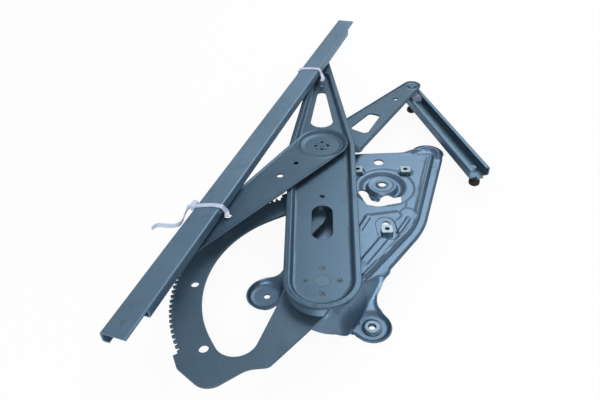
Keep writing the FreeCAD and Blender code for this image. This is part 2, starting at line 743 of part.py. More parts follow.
NUT_SEAT = [(-2.0, -65.5, 10.5), (-3.0, -81.5, 8.5), (2.0, -82.0, 8.5)]

body = new_body("plate_web")
border_top = size("plate_sheet") - size("border_drop")
plate_blank = new_sketch(body, "PlateBorder", -size("border_drop"))
add_belt(plate_blank, PLATE_OUTLINE)
add_belt(plate_blank, grown(PLATE_WEB, -size("plate_sheet")))
pad(body, plate_blank, size("plate_sheet"))
plate_edge = new_sketch(body, "PlateEdge", border_top)
add_belt(plate_edge, PLATE_OUTLINE)
add_belt(plate_edge, grown(PLATE_OUTLINE, -size("plate_sheet")))
pad(body, plate_edge, size("plate_flange"), reverse=True)
web_sheet = new_sketch(body, "PlateWeb")
add_belt(web_sheet, PLATE_WEB)
pad(body, web_sheet, size("plate_sheet"))
bead = new_sketch(body, "PlateBead", size("plate_sheet"))
add_belt(bead, BEAD)
pad(body, bead, size("bead_rise"))
boss_foot = new_sketch(body, "BossFoot", size("plate_sheet"))
add_circle(boss_foot, *pivot, size("boss_foot"))
boss_flat = new_sketch(body, "BossFlat", size("plate_sheet") + size("boss_rise"))
add_circle(boss_flat, *pivot, size("boss_radius"))
loft(body, "PartDesign::AdditiveLoft", [boss_foot, boss_flat])
boss_inset = size("plate_sheet") / 2.0
boss_mouth = new_sketch(body, "BossMouth")
add_circle(boss_mouth, *pivot, size("boss_foot") - boss_inset)
boss_roof = new_sketch(body, "BossRoof", size("boss_rise"))
add_circle(boss_roof, *pivot, size("boss_radius") - boss_inset)
loft(body, "PartDesign::SubtractiveLoft", [boss_mouth, boss_roof])
for number, (x, y, half_length, turn, half_width) in enumerate(RIBS, start=1):
    rib = new_sketch(body, f"Rib{number}", size("plate_sheet"))
    rise = math.radians(turn)
    reach = (half_length * math.cos(rise), half_length * math.sin(rise))
    add_belt(rib, [(x + reach[0], y + reach[1], half_width),
                   (x - reach[0], y - reach[1], half_width)])
    pad(body, rib, size("rib_rise"))
seats = new_sketch(body, "NutSeats", size("plate_sheet"))
for x, y in NUT_PLACES[:2]:
    add_circle(seats, x, y, size("nut_seat_radius"))
add_belt(seats, NUT_SEAT)
pocket(body, seats, size("groove_depth"))
groove = new_sketch(body, "PressedLine", size("plate_sheet"))
for radius in (size("groove_radius"), size("groove_radius") - size("groove_width")):
    add_circle(groove, 1.7, -1.0, radius)
pocket(body, groove, size("groove_depth"))
mouth = new_sketch(body, "TroughMouth", size("plate_sheet"))
add_circle(mouth, 0.0, 0.0, size("trough_radius"))
pocket(body, mouth, size("plate_sheet"))

# The trough, pad and collar are one turned sheet about the pilot bore.
trough_top = size("plate_sheet") - size("trough_depth")
pad_top = size("plate_sheet") * 2.0
collar_radius = size("pilot_radius") + size("pilot_wall")
trough_slope = 2.5
trough_seam = 0.8
under_slope = trough_slope - 1.2
trough = new_sketch(body, "PilotTrough", role="XZ_Plane")
add_polygon(trough, [
    (size("pilot_radius"), 0.0),
    (collar_radius, 0.0),
    (collar_radius, pad_top - size("plate_sheet")),
    (size("pilot_pad_radius") + under_slope - trough_slope, pad_top - size("plate_sheet")),
    (size("pilot_pad_radius") + under_slope, trough_top - size("plate_sheet")),
    (size("trough_radius") - under_slope, trough_top - size("plate_sheet")),
    (size("trough_radius") + trough_seam, 0.0),
    (size("trough_radius") + trough_seam, size("plate_sheet")),
    (size("trough_radius"), size("plate_sheet")),
    (size("trough_radius") - trough_slope, trough_top),
    (size("pilot_pad_radius") + trough_slope, trough_top),
    (size("pilot_pad_radius"), pad_top),
    (collar_radius, pad_top),
    (collar_radius, pad_top + size("pilot_rim")),
    (size("pilot_radius"), pad_top + size("pilot_rim")),
])
revolve(body, trough)
plate_holes = new_sketch(body, "PlateHoles", size("plate_sheet") + size("boss_rise"))
add_circle(plate_holes, -0.3, 47.5, 6.0)
add_circle(plate_holes, -1.4, -64.9, size("large_hole_radius"))
add_circle(plate_holes, *pivot, bush_neck)
for x, y in NUT_PLACES:
    add_circle(plate_holes, x, y, size("screw_clearance"))
add_belt(plate_holes, DRIVE_WINDOW)
pocket(body, plate_holes, size("plate_flange") + size("boss_rise") + size("plate_sheet"))

# Raised rim of the right-hand ear: the part of the edge that lies in the ear's corner.
edge_ring = new_body("plate_edge_ring")
plate_rim = new_sketch(edge_ring, "PlateRim", -size("border_drop"))
add_belt(plate_rim, PLATE_OUTLINE)
add_belt(plate_rim, grown(PLATE_OUTLINE, -size("plate_sheet") * 1.5))
pad(edge_ring, plate_rim, size("plate_sheet") + size("rim_rise"))
ear = doc.addObject("Part::Box", "ear_corner")
ear_box = 60.0
for side in ("Length", "Width", "Height"):
    setattr(ear, side, ear_box)
ear.Placement.Base = FreeCAD.Vector(38.0, 46.0, -ear_box / 2.0)
pieces = [body, common("ear_rim", [edge_ring, ear])]

# Three feet: drawn straps that come down from the web to flat pads with a turned-up edge.
# The outline of each starts at its pad, with +X towards the web.
foot_rise = plate_low - size("floor_level")
strap_width = 140.0


def foot_strap(label, radius, thickness, top_sheet):
    """The side view of a foot, as wide as the strap: pad, slope and the flat that meets the web."""
    strap = new_body(f"{label}_strap")
    profile = new_sketch(strap, f"{label}Profile", -strap_width / 2.0, role="XZ_Plane")
    bend = radius - 6.0
    top = bend + size("foot_slope")
    root = top + size("foot_slope")
    lean = term(thickness) * 0.5
    add_polygon(profile, [
        (-radius - 2.0, 0.0),
        (bend, 0.0),
        (top, foot_rise),
        (root, foot_rise),
        (root, foot_rise + top_sheet),
        (top - lean, foot_rise + top_sheet),
        (bend - lean, thickness),
        (-radius - 2.0, thickness),
    ])
    pad(strap, profile, strap_width)
    return strap


def foot_blank(label, outline, inset):
    """The plan of a foot, as a tall prism; with an inset it is only the edge."""
    prism = new_body(f"{label}_blank")
    plan = new_sketch(prism, f"{label}Plan", -1.0)
    add_belt(plan, outline)
    if inset:
        add_belt(plan, grown(outline, -inset))
    pad(prism, plan, foot_rise + strap_width / 2.0)
    return prism


def foot(label, x, y, turn, outline, edge):
    """A foot: its sheet and its edge, drilled for the door bolt."""
    radius = outline[0][2]
    plate = size("plate_sheet")
    sheet_part = common(f"{label}_sheet", [foot_strap(f"{label}_sheet", radius, plate, plate),
                                           foot_blank(f"{label}_sheet", outline, None)])
    edge_part = common(f"{label}_edge", [foot_strap(f"{label}_edge", radius, edge, plate),
                                         foot_blank(f"{label}_edge", outline, plate)])
    bore = doc.addObject("Part::Cylinder", f"{label}_bore")
    bind(bore, "Radius", size("door_hole_radius"))
    bind(bore, "Height", plate * 2.0)
    bind(bore, "Placement.Base.z", -plate * 0.5)
    drilled = cut(f"{label}_drilled", fuse(label, [sheet_part, edge_part]), bore)
    settle(drilled, x, y, size("floor_level") - plate_low, turn)
    return drilled


front_foot_place = (pivot[0] + size("front_foot_x"), pivot[1] - size("front_foot_y"))
pieces.append(foot("front_foot", *front_foot_place, 100.0, [
    (0.0, 0.0, size("front_foot_radius")),
    (22.6, -19.8, -9.7),
    (42.0, -24.0, 6.0),
    (36.0, 57.0, 6.0),
], size("front_foot_edge")))
side_foot_place = (pivot[0] - size("side_foot_x"), pivot[1] + size("side_foot_y"))
pieces.append(foot("side_foot", *side_foot_place, -12.0, [
    (0.0, 0.0, size("foot_radius")),
    (43.5, -20.0, 6.0),
    (43.5, 20.0, 6.0),
], size("foot_edge")))
rear_foot_place = (pivot[0] + size("rear_foot_x"), pivot[1] + size("rear_foot_y"))
pieces.append(foot("rear_foot", *rear_foot_place, -116.0, [
    (0.0, 0.0, size("foot_radius")),
    (42.0, -7.0, 6.0),
    (42.0, 6.0, 6.0),
], size("foot_edge")))
place(fuse("base_plate", pieces), 0.0, 0.0, plate_low)

# Square weld nuts for the motor's three screws, each in its pressed seat.
nuts = []
for number, (x, y) in enumerate(NUT_PLACES, start=1):
    nut = new_body(f"motor_nut_{number}")
    block = new_sketch(nut, f"NutBlock{number}")
    half = size("nut_width") / 2.0
    corner = half - size("nut_width") * 0.1
    add_polygon(block, [(x + half, y - corner), (x + half, y + corner),
                        (x + corner, y + half), (x - corner, y + half),
                        (x - half, y + corner), (x - half, y - corner),
                        (x - corner, y - half), (x + corner, y - half)])
    pad(nut, block, size("nut_height"))
    thread = new_sketch(nut, f"NutThread{number}", size("nut_height"))
    add_circle(thread, x, y, size("nut_bore"))
    pocket(nut, thread, size("nut_height"))
    nuts.append(nut)
place(group("motor_nuts", nuts), 0.0, 0.0, size("plate_level") - size("groove_depth"))

# Push nut on the front foot: a thin spring-steel cup washer round the door hole.
clip_bore = size("door_hole_radius") + 0.6
clip_edge = 0.8
clip_crown = 1.8
clip = turned("foot_clip", [
    (clip_bore, 0.0),
    (size("clip_radius"), 0.0),
    (size("clip_radius"), clip_edge),
    (size("clip_radius") * 0.7, clip_crown),
    (clip_bore, clip_crown),
])
place(clip, *front_foot_place, size("floor_level") + size("plate_sheet"))

# Balance arm, upper half: a dish that sits in the main arm's recess, a flat arm and raised edges.
body = new_body("balance_arm_upper")
UPPER = [
    (0.0, 0.0, size("balance_heel_radius")),
    (0.0, size("arm_reach"), size("balance_tip_radius")),
]
dish_depth = upper_low - upper_floor
upper_blank = new_sketch(body, "UpperBlank", dish_depth)
add_belt(upper_blank, UPPER)
pad(body, upper_blank, size("balance_sheet"))
lip = new_sketch(body, "UpperLip", dish_depth)
add_belt(lip, UPPER)
add_belt(lip, grown(UPPER, -size("lip_width")))
pad(body, lip, size("balance_sheet") + size("lip_rise"))
dish_rim = new_sketch(body, "UpperDishRim", dish_depth + size("balance_sheet") - 0.2)
add_circle(dish_rim, 0.0, 0.0, size("dish_radius") + size("dish_slope") + 1.2)
dish_base = new_sketch(body, "UpperDishBase")
add_circle(dish_base, 0.0, 0.0, size("dish_radius") + 1.5)
loft(body, "PartDesign::AdditiveLoft", [dish_rim, dish_base])
dish_mouth = new_sketch(body, "UpperDishMouth", dish_depth + size("balance_sheet"))
add_circle(dish_mouth, 0.0, 0.0, size("dish_radius") + size("dish_slope"))
dish_floor = new_sketch(body, "UpperDishFloor", size("balance_sheet"))
add_circle(dish_floor, 0.0, 0.0, size("dish_radius"))
loft(body, "PartDesign::SubtractiveLoft", [dish_mouth, dish_floor])
upper_holes = new_sketch(body, "UpperHoles", dish_depth + size("balance_sheet") + size("lip_rise"))
add_circle(upper_holes, 0.0, size("upper_pilot_y"), size("small_hole_radius"))
for y in (size("upper_hole_near"), size("upper_hole_far")):
    add_circle(upper_holes, 0.0, y, size("large_hole_radius"))
add_circle(upper_holes, 0.0, size("arm_reach"), size("pin_radius"))
for x, y in HUB_PLACES:
    add_circle(upper_holes, x, y, size("hub_rivet_radius"))
pocket(body, upper_holes, dish_depth + size("balance_sheet") + size("lip_rise"))
place(body, *cross, upper_floor, upper_turn)

# Balance arm, lower half: its raised seat meets the hub under the main arm, and the rest
# lies lower, above the guide channel.
body = new_body("balance_arm_lower")
LOWER = [
    (0.0, 0.0, size("lower_heel_radius")),
    (0.0, size("arm_reach"), size("lower_tip_radius")),
]
LOWER_WINDOW = [(3.0, 120.0, 4.0), (-5.0, 118.0, 5.0), (-4.0, 81.0, 6.5), (9.0, 81.0, 6.0)]
lower_height = seat_low + size("lower_sheet") - lower_low
lower_lip = new_sketch(body, "LowerLip")
add_belt(lower_lip, LOWER)
add_belt(lower_lip, grown(LOWER, -size("lower_lip_width")))
pad(body, lower_lip, size("lower_sheet") + size("lower_lip"))
lip_trim = new_sketch(body, "LowerLipTrim", size("lower_sheet") + size("lower_lip"))
add_circle(lip_trim, 0.0, 0.0, size("lower_foot") + 1.0)
pocket(body, lip_trim, size("lower_sheet") + size("lower_lip"))
lower_profile = new_sketch(body, "LowerProfile", role="XZ_Plane")
lower_inset = size("lower_sheet") * 0.4
lower_edge = size("arm_reach") + size("lower_tip_radius") + BLANK_MARGIN
add_polygon(lower_profile, [
    (0.0, lower_height - size("lower_sheet")),
    (size("lower_flat") - lower_inset, lower_height - size("lower_sheet")),
    (size("lower_foot") - lower_inset, 0.0),
    (lower_edge, 0.0),
    (lower_edge, size("lower_sheet")),
    (size("lower_foot"), size("lower_sheet")),
    (size("lower_flat"), lower_height),
    (0.0, lower_height),
])
revolve(body, lower_profile)
lower_outline = new_sketch(body, "LowerOutline", lower_height)
add_circle(lower_outline, 0.0, 0.0, lower_edge + BLANK_MARGIN)
add_belt(lower_outline, LOWER)
pocket(body, lower_outline, lower_height)
lower_holes = new_sketch(body, "LowerHoles", lower_height)
add_belt(lower_holes, LOWER_WINDOW)
add_circle(lower_holes, 0.0, size("lower_hole_y"), size("large_hole_radius") - 0.5)
add_circle(lower_holes, 0.0, size("arm_reach"), size("pin_radius"))
for x, y in HUB_PLACES:
    add_circle(lower_holes, x, y, size("hub_rivet_radius"))
pocket(body, lower_holes, lower_height)
place(body, *cross, lower_low, lower_turn)

# Crossing pivot: a hub turning in the main arm between the halves, and five rivets through all.
hub_low = seat_low + size("lower_sheet")
hub = new_body("crossing_hub")
hub_disc = new_sketch(hub, "HubDisc")
add_circle(hub_disc, 0.0, 0.0, size("hub_radius"))
for x, y in HUB_PLACES:
    add_circle(hub_disc, x, y, size("hub_rivet_radius"))
pad(hub, hub_disc, upper_floor - hub_low)
place(hub, *cross, hub_low)
hub_length = upper_floor + size("balance_sheet") - seat_low
rivets = [turned(f"hub_rivet_{k + 1}", [
    (0.0, 0.0),
    (size("hub_rivet_radius"), 0.0),
    (size("hub_rivet_radius"), hub_length + size("rivet_head")),
    (0.0, hub_length + size("rivet_head")),
], x, y) for k, (x, y) in enumerate(HUB_PLACES)]
place(group("crossing_rivets", rivets), *cross, seat_low)

# Sliders: nylon shoes inside the rails, each turning on a collared pin staked in its arm.
shoe_low = rail_low + size("rail_sheet") + size("face_gap")
shoe_height = size("rail_height") - size("rail_sheet") * 2.0 - size("face_gap") * 2.0
neck_low = upper_top + size("face_gap")
shoe_half = size("rail_width") / 2.0 - size("rail_sheet") - size("face_gap")
guide_shoe_half = size("guide_width") / 2.0 - size("rail_sheet") - size("face_gap")
guide_shoe_height = size("guide_height") - size("rail_sheet") * 2.0 - size("face_gap") * 2.0
guide_shoe_low = guide_low + size("rail_sheet") + size("face_gap")


def shoe(label, half_width, height, neck_radius, neck_length, neck_up):
    """A shoe block with rounded corners and a round neck towards its arm, bored for the pin."""
    block = new_body(label)
    corner = size("shoe_corner")
    across = half_width - corner
    along = size("shoe_length") / 2.0 - corner
    level = 0.0 if neck_up else neck_length
    plan = new_sketch(block, f"{label}Plan", level)
    add_belt(plan, [(across, along, corner), (-across, along, corner),
                    (-across, -along, corner), (across, -along, corner)])
    pad(block, plan, height)
    neck = new_sketch(block, f"{label}Neck", height if neck_up else neck_length)
    add_circle(neck, 0.0, 0.0, neck_radius)
    pad(block, neck, neck_length, reverse=not neck_up)
    bore = new_sketch(block, f"{label}Bore", height + neck_length if neck_up else 0.0)
    add_circle(bore, 0.0, 0.0, size("pin_radius") + size("running_gap"))
    pocket(block, bore, neck_length + height - size("shoe_roof"), upward=not neck_up)
    return block


neck_length = shoe_low - neck_low
front_shoe = shoe("front_slider", shoe_half, shoe_height, size("shoe_neck_radius"),
                  neck_length, False)
place(front_shoe, *tip, neck_low, rail_turn)
rear_shoe = shoe("rear_slider", shoe_half, shoe_height, size("shoe_neck_radius"),
                 neck_length, False)
place(rear_shoe, *rear, neck_low, rail_turn)
guide_neck = lower_low - size("face_gap") - guide_shoe_low - guide_shoe_height
guide_shoe = shoe("guide_slider", guide_shoe_half, guide_shoe_height,
                  size("guide_neck_radius"), guide_neck, True)
place(guide_shoe, *runner, guide_shoe_low, guide_turn)

pin_end = shoe_low + shoe_height - size("shoe_roof") - size("face_gap")
front_pin = turned("front_slider_pin", [
    (0.0, -size("pin_head")),
    (size("pin_collar_radius"), -size("pin_head")),
    (size("pin_collar_radius"), 0.0),
    (size("pin_radius"), 0.0),
    (size("pin_radius"), size("arm_sheet")),
    (size("pin_collar_radius"), size("arm_sheet")),
    (size("pin_collar_radius"), upper_top - band_low),
    (size("pin_radius"), upper_top - band_low),
    (size("pin_radius"), pin_end - band_low),
    (0.0, pin_end - band_low),
])
place(front_pin, *tip, band_low)
rear_pin = turned("rear_slider_pin", [
    (0.0, 0.0),
    (size("pin_radius"), 0.0),
    (size("pin_radius"), pin_end - upper_low),
    (0.0, pin_end - upper_low),
])
place(rear_pin, *rear, upper_low)
guide_pin_low = guide_shoe_low + size("shoe_roof") + size("face_gap")
guide_pin = turned("guide_slider_pin", [
    (0.0, 0.0),
    (size("pin_radius"), 0.0),
    (size("pin_radius"), lower_top - guide_pin_low),
    (size("pin_collar_radius"), lower_top - guide_pin_low),
    (size("pin_collar_radius") - 1.0, lower_top - guide_pin_low + size("pin_head")),
    (0.0, lower_top - guide_pin_low + size("pin_head")),
])
place(guide_pin, *runner, guide_pin_low)

# Lift rail and guide: lipped channels with rounded folds.


def channel(label, width, height, slot, front, rear_end, lips_up):
    """A lipped channel along Y, from -rear_end to front."""
    rail = new_body(label)
    plate = size("rail_sheet")
    bend = size("rail_bend")
    fold = bend - plate
    wall = width / 2.0 - plate - fold
    edge = width / 2.0 - bend
    lip_end = slot / 2.0 + plate / 2.0
    half_outline = [
        (lip_end, plate / 2.0, plate / 2.0),
        (edge, bend, bend),
        (edge, height - bend, bend),
    ]
    half_inside = [
        (wall, height - plate - fold, -fold),
        (wall, plate + fold, -fold),
    ]
    outline = half_outline + [(-x, z, r) for x, z, r in reversed(half_outline)]
    outline += [(-x, z, r) for x, z, r in reversed(half_inside)] + half_inside
    if lips_up:
        outline = [(x, height - z, r) for x, z, r in reversed(outline)]
    section = new_sketch(rail, f"{label}Section", -term(front), role="XZ_Plane")
    add_belt(section, outline)
    pad(rail, section, front + rear_end)
    return rail


rail = channel("lift_rail", size("rail_width"), size("rail_height"), size("rail_slot"),
               size("rail_front"), size("rail_rear"), False)
wall_cut = new_sketch(rail, "RailWallEnds")
for near, far in ((size("rail_flange_front"), size("rail_front") + 1.0),
                  (-size("rail_rear") - 1.0, -size("rail_flange_rear"))):
    add_polygon(wall_cut, [(size("rail_slot") / 2.0 - 1.0, near),
                           (size("rail_width") / 2.0 + 1.0, near),
                           (size("rail_width") / 2.0 + 1.0, far),
                           (size("rail_slot") / 2.0 - 1.0, far)])
pocket(rail, wall_cut, size("rail_height") - size("rail_sheet"), upward=True)
stop_hole = new_sketch(rail, "RailStopHole", size("rail_height"))
add_circle(stop_hole, 0.0, -size("rail_stop"), size("rivet_radius"))
pocket(rail, stop_hole, size("rail_sheet") * 2.0)
place(rail, *tip, rail_low, rail_turn)
stop_rivet = turned("stop_rivet", [
    (0.0, 0.0),
    (size("stop_radius"), 0.0),
    (size("stop_radius"), size("stop_depth")),
    (size("rivet_radius"), size("stop_depth")),
    (size("rivet_radius"), size("stop_depth") + size("rail_sheet")),
    (0.0, size("stop_depth") + size("rail_sheet")),
], 0.0, -size("rail_stop"))
place(group("rail_stop", [stop_rivet]), *tip,
      rail_low + size("rail_height") - size("rail_sheet") - size("stop_depth"), rail_turn)

# Guide channel: the same section, open side up, with two studs under it and their caps.
guide = channel("guide_channel", size("guide_width"), size("guide_height"), size("guide_slot"),
                size("guide_far"), size("guide_near"), True)
bump = new_sketch(guide, "GuideBump", size("rail_sheet"))
add_circle(bump, 0.0, size("bump_far"), size("bump_radius"))
bump_top = new_sketch(guide, "GuideBumpTop", size("rail_sheet") + size("bump_rise"))
add_circle(bump_top, 0.0, size("bump_far"), size("bump_radius") - 3.0)
loft(guide, "PartDesign::AdditiveLoft", [bump, bump_top])
tongue = new_sketch(guide, "GuideTongue")
tongue_half = size("guide_slot") / 4.0
tongue_end = size("guide_far") + size("tongue_length")
add_polygon(tongue, [
    (-tongue_half, size("guide_far") - 1.0),
    (tongue_half, size("guide_far") - 1.0),
    (tongue_half, tongue_end),
    (-tongue_half, tongue_end),
])
pad(guide, tongue, size("rail_sheet"))
place(guide, *runner, guide_low, guide_turn)
STUDS = ((0.0, size("stud_near")), (-size("stud_offset"), size("stud_far")))
cap_low = size("floor_level")
cap_floor = 1.5
stud_low = cap_low + cap_floor
stud_flange = 1.5
flange_radius = size("stud_radius") * 2.0
studs = [turned(f"guide_stud_{k}", [
    (0.0, 0.0),
    (size("stud_radius"), 0.0),
    (size("stud_radius"), guide_low - stud_low - stud_flange),
    (flange_radius, guide_low - stud_low - stud_flange),
    (flange_radius, guide_low - stud_low),
    (0.0, guide_low - stud_low),
], *spot) for k, spot in enumerate(STUDS, start=1)]
place(group("guide_studs", studs), *runner, stud_low, guide_turn)
cap_round = 1.5
sleeve_top = guide_low - cap_low - stud_flange - size("face_gap")
caps = [turned(f"stud_cap_{k}", [
    (0.0, 0.0),
    (size("cap_radius") - cap_round, 0.0),
    (size("cap_radius"), cap_round),
    (size("cap_radius"), size("cap_height") - cap_round),
    (size("cap_radius") - cap_round, size("cap_height")),
    (size("cap_neck_radius"), size("cap_height")),
    (size("cap_neck_radius"), sleeve_top),
    (size("stud_radius"), sleeve_top),
    (size("stud_radius"), cap_floor),
    (0.0, cap_floor),
], *spot) for k, spot in enumerate(STUDS, start=1)]
place(group("stud_caps", caps), *runner, cap_low, guide_turn)

doc.recompute()
failed = [thing.Label for thing in doc.Objects
          if "Invalid" in thing.State or "Error" in thing.State]
failed += [thing.Label for thing in parts if thing.Shape.isNull() or not thing.Shape.isValid()]
if failed:
    raise RuntimeError("These did not build: " + ", ".join(failed))
os.makedirs("parts", exist_ok=True)
for thing in parts:
    thing.Shape.exportStep(f"parts/{thing.Label}.step")
    solids = thing.Shape.Solids
    print(f"{thing.Label}: {len(solids)} solid(s), {thing.Shape.Volume:.0f} mm3")
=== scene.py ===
import bpy
import math
import numpy as np
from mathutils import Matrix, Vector
from mathutils.geometry import delaunay_2d_cdt


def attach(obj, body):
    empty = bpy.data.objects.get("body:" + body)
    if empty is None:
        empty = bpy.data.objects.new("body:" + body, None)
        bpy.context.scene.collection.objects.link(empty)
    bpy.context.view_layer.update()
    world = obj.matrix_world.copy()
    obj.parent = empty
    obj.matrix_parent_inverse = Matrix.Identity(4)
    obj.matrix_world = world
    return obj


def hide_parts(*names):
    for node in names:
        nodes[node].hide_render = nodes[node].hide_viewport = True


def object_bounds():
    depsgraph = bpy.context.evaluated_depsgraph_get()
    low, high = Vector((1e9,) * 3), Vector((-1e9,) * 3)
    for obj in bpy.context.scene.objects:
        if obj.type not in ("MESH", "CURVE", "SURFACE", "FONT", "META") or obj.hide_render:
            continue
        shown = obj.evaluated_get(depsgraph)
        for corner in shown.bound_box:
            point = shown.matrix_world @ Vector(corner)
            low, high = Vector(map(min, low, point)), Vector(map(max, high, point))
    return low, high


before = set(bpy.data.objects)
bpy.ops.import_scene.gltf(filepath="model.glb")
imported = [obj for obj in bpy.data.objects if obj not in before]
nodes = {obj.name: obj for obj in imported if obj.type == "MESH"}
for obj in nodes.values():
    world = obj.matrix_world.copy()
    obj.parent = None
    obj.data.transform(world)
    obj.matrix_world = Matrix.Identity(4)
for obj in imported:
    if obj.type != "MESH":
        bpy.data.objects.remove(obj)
cad_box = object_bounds()

# Base plate. One steel sheet, blanked and drawn in a press: a raised web with a border round it,
# a boss for the arm's pivot, a motor pad in a round trough, ribs, and three feet drawn down to
# the door. All its forms are rounded, as the sheet flows over the tool. Lengths are millimetres.
MM = 0.001
SHARP_EDGE = math.radians(38.0)
PIVOT = (-69.6, -165.6)
CROSSING = (-69.6, 53.4)
RIGHT_BEND = (-59.6, -20.4)


def belt(circles, step=1.3, closed=True):
    """Points of a belt round the circles, taken anticlockwise; a negative radius is hollow."""
    runs = []
    for i, (x1, y1, r1) in enumerate(circles):
        x2, y2, r2 = circles[(i + 1) % len(circles)]
        span = math.hypot(x2 - x1, y2 - y1)
        along = ((x2 - x1) / span, (y2 - y1) / span)
        lean = (r1 - r2) / span
        side = math.sqrt(1.0 - lean * lean)
        normal = (along[1] * side + along[0] * lean, -along[0] * side + along[1] * lean)
        runs.append(((x1 + r1 * normal[0], y1 + r1 * normal[1]),
                     (x2 + r2 * normal[0], y2 + r2 * normal[1])))
    points = []
    for i, (x, y, radius) in enumerate(circles):
        start, end = runs[i - 1][1], runs[i][0]
        first = math.atan2(start[1] - y, start[0] - x)
        sweep = (math.atan2(end[1] - y, end[0] - x) - first) % math.tau
        if radius < 0.0:
            sweep -= math.tau if sweep > 0.0 else 0.0
        bits = max(2, math.ceil(abs(radius * sweep) / step))
        if closed or 0 < i < len(circles) - 1:
            points += [(x + abs(radius) * math.cos(first + sweep * k / bits),
                        y + abs(radius) * math.sin(first + sweep * k / bits))
                       for k in range(bits)]
        if closed or i < len(circles) - 1:
            (x1, y1), (x2, y2) = runs[i]
            bits = max(1, round(math.hypot(x2 - x1, y2 - y1) / step))
            points += [(x1 + (x2 - x1) * k / bits, y1 + (y2 - y1) * k / bits)
                       for k in range(bits)]
    return np.array(points)


def ring(x, y, radius, step=1.1):
    """Points of a circle."""
    count = max(16, math.ceil(math.tau * radius / step))
    turn = np.arange(count) * math.tau / count
    return np.stack((x + radius * np.cos(turn), y + radius * np.sin(turn)), axis=1)


def grown(circles, amount):
    """The same circles, each with a larger radius."""
    return [(x, y, radius + amount) for x, y, radius in circles]


def path_distance(points, path, closed=False, kept=None):
    """How far each point lies from a path, or from the kept runs of a closed one."""
    starts = path if closed else path[:-1]
    ends = np.roll(path, -1, axis=0) if closed else path[1:]
    if kept is not None:
        starts, ends = starts[kept], ends[kept]
    runs = ends - starts
    squares = np.maximum((runs ** 2).sum(axis=1), 1e-9)
    found = []
    for block in np.array_split(points, len(points) // 2000 + 1):
        away = block[:, None] - starts[None]
        share = np.clip((away * runs).sum(axis=2) / squares, 0.0, 1.0)
        found.append(np.linalg.norm(away - share[..., None] * runs, axis=2).min(axis=1))
    return np.concatenate(found)


def inside(points, loop):
    """How far each point lies inside a loop, negative outside."""
    ahead = np.roll(loop, -1, axis=0)
    crossings = np.zeros(len(points), dtype=int)
    for (x1, y1), (x2, y2) in zip(loop, ahead):
        if y1 != y2:
            spans = (points[:, 1] >= min(y1, y2)) & (points[:, 1] < max(y1, y2))
            at = x1 + (points[:, 1] - y1) * (x2 - x1) / (y2 - y1)
            crossings += spans & (points[:, 0] < at)
    side = np.where(crossings % 2 == 1, 1.0, -1.0)
    return side * path_distance(points, loop, closed=True)


def from_rim(points, loops):
    """How far each point lies inside the union of loops, negative outside."""
    side = np.where(np.max([inside(points, loop) for loop in loops], axis=0) > 0.0, 1.0, -1.0)
    gaps = []
    for i, loop in enumerate(loops):
        others = [inside(loop, other) for k, other in enumerate(loops) if k != i]
        free = np.max(others, axis=0) < 0.02 if others else np.ones(len(loop), dtype=bool)
        gaps.append(path_distance(points, loop, True, free | np.roll(free, -1)))
    return side * np.min(gaps, axis=0)


def eased(share):
    """0 to 1 with a rounded start and end."""
    share = np.clip(share, 0.0, 1.0)
    return share * share * (3.0 - 2.0 * share)


def away_from(points, x, y):
    """How far each point lies from a place."""
    return np.hypot(points[:, 0] - x, points[:, 1] - y)


def toward(height, level, share):
    """Heights drawn toward a level by a share."""
    return height + (level - height) * share


def beside(path, offset, closed):
    """The path moved sideways."""
    if closed:
        run = np.roll(path, -1, axis=0) - np.roll(path, 1, axis=0)
    else:
        run = np.gradient(path, axis=0)
    run /= np.maximum(np.linalg.norm(run, axis=1), 1e-9)[:, None]
    return path + offset * np.stack((run[:, 1], -run[:, 0]), axis=1)


def divided(corners, step=1.2):
    """An open path through corners, in short runs."""
    points = []
    for (x1, y1), (x2, y2) in zip(corners[:-1], corners[1:]):
        bits = max(1, round(math.hypot(x2 - x1, y2 - y1) / step))
        points += [(x1 + (x2 - x1) * k / bits, y1 + (y2 - y1) * k / bits) for k in range(bits)]
    return np.array(points + [corners[-1]])


def new_piece(name, points, faces):
    """An active object from points in millimetres, without loose points and turned outward."""
    mesh = bpy.data.meshes.new(name)
    mesh.from_pydata((np.array(points) * MM).tolist(), [], faces)
    piece = bpy.data.objects.new(name, mesh)
    bpy.context.collection.objects.link(piece)
    bpy.ops.object.select_all(action="DESELECT")
    piece.select_set(True)
    bpy.context.view_layer.objects.active = piece
    bpy.ops.object.mode_set(mode="EDIT")
    bpy.ops.mesh.select_all(action="SELECT")
    bpy.ops.mesh.delete_loose()
    bpy.ops.mesh.select_all(action="SELECT")
    bpy.ops.mesh.normals_make_consistent(inside=False)
    bpy.ops.object.mode_set(mode="OBJECT")
    return piece


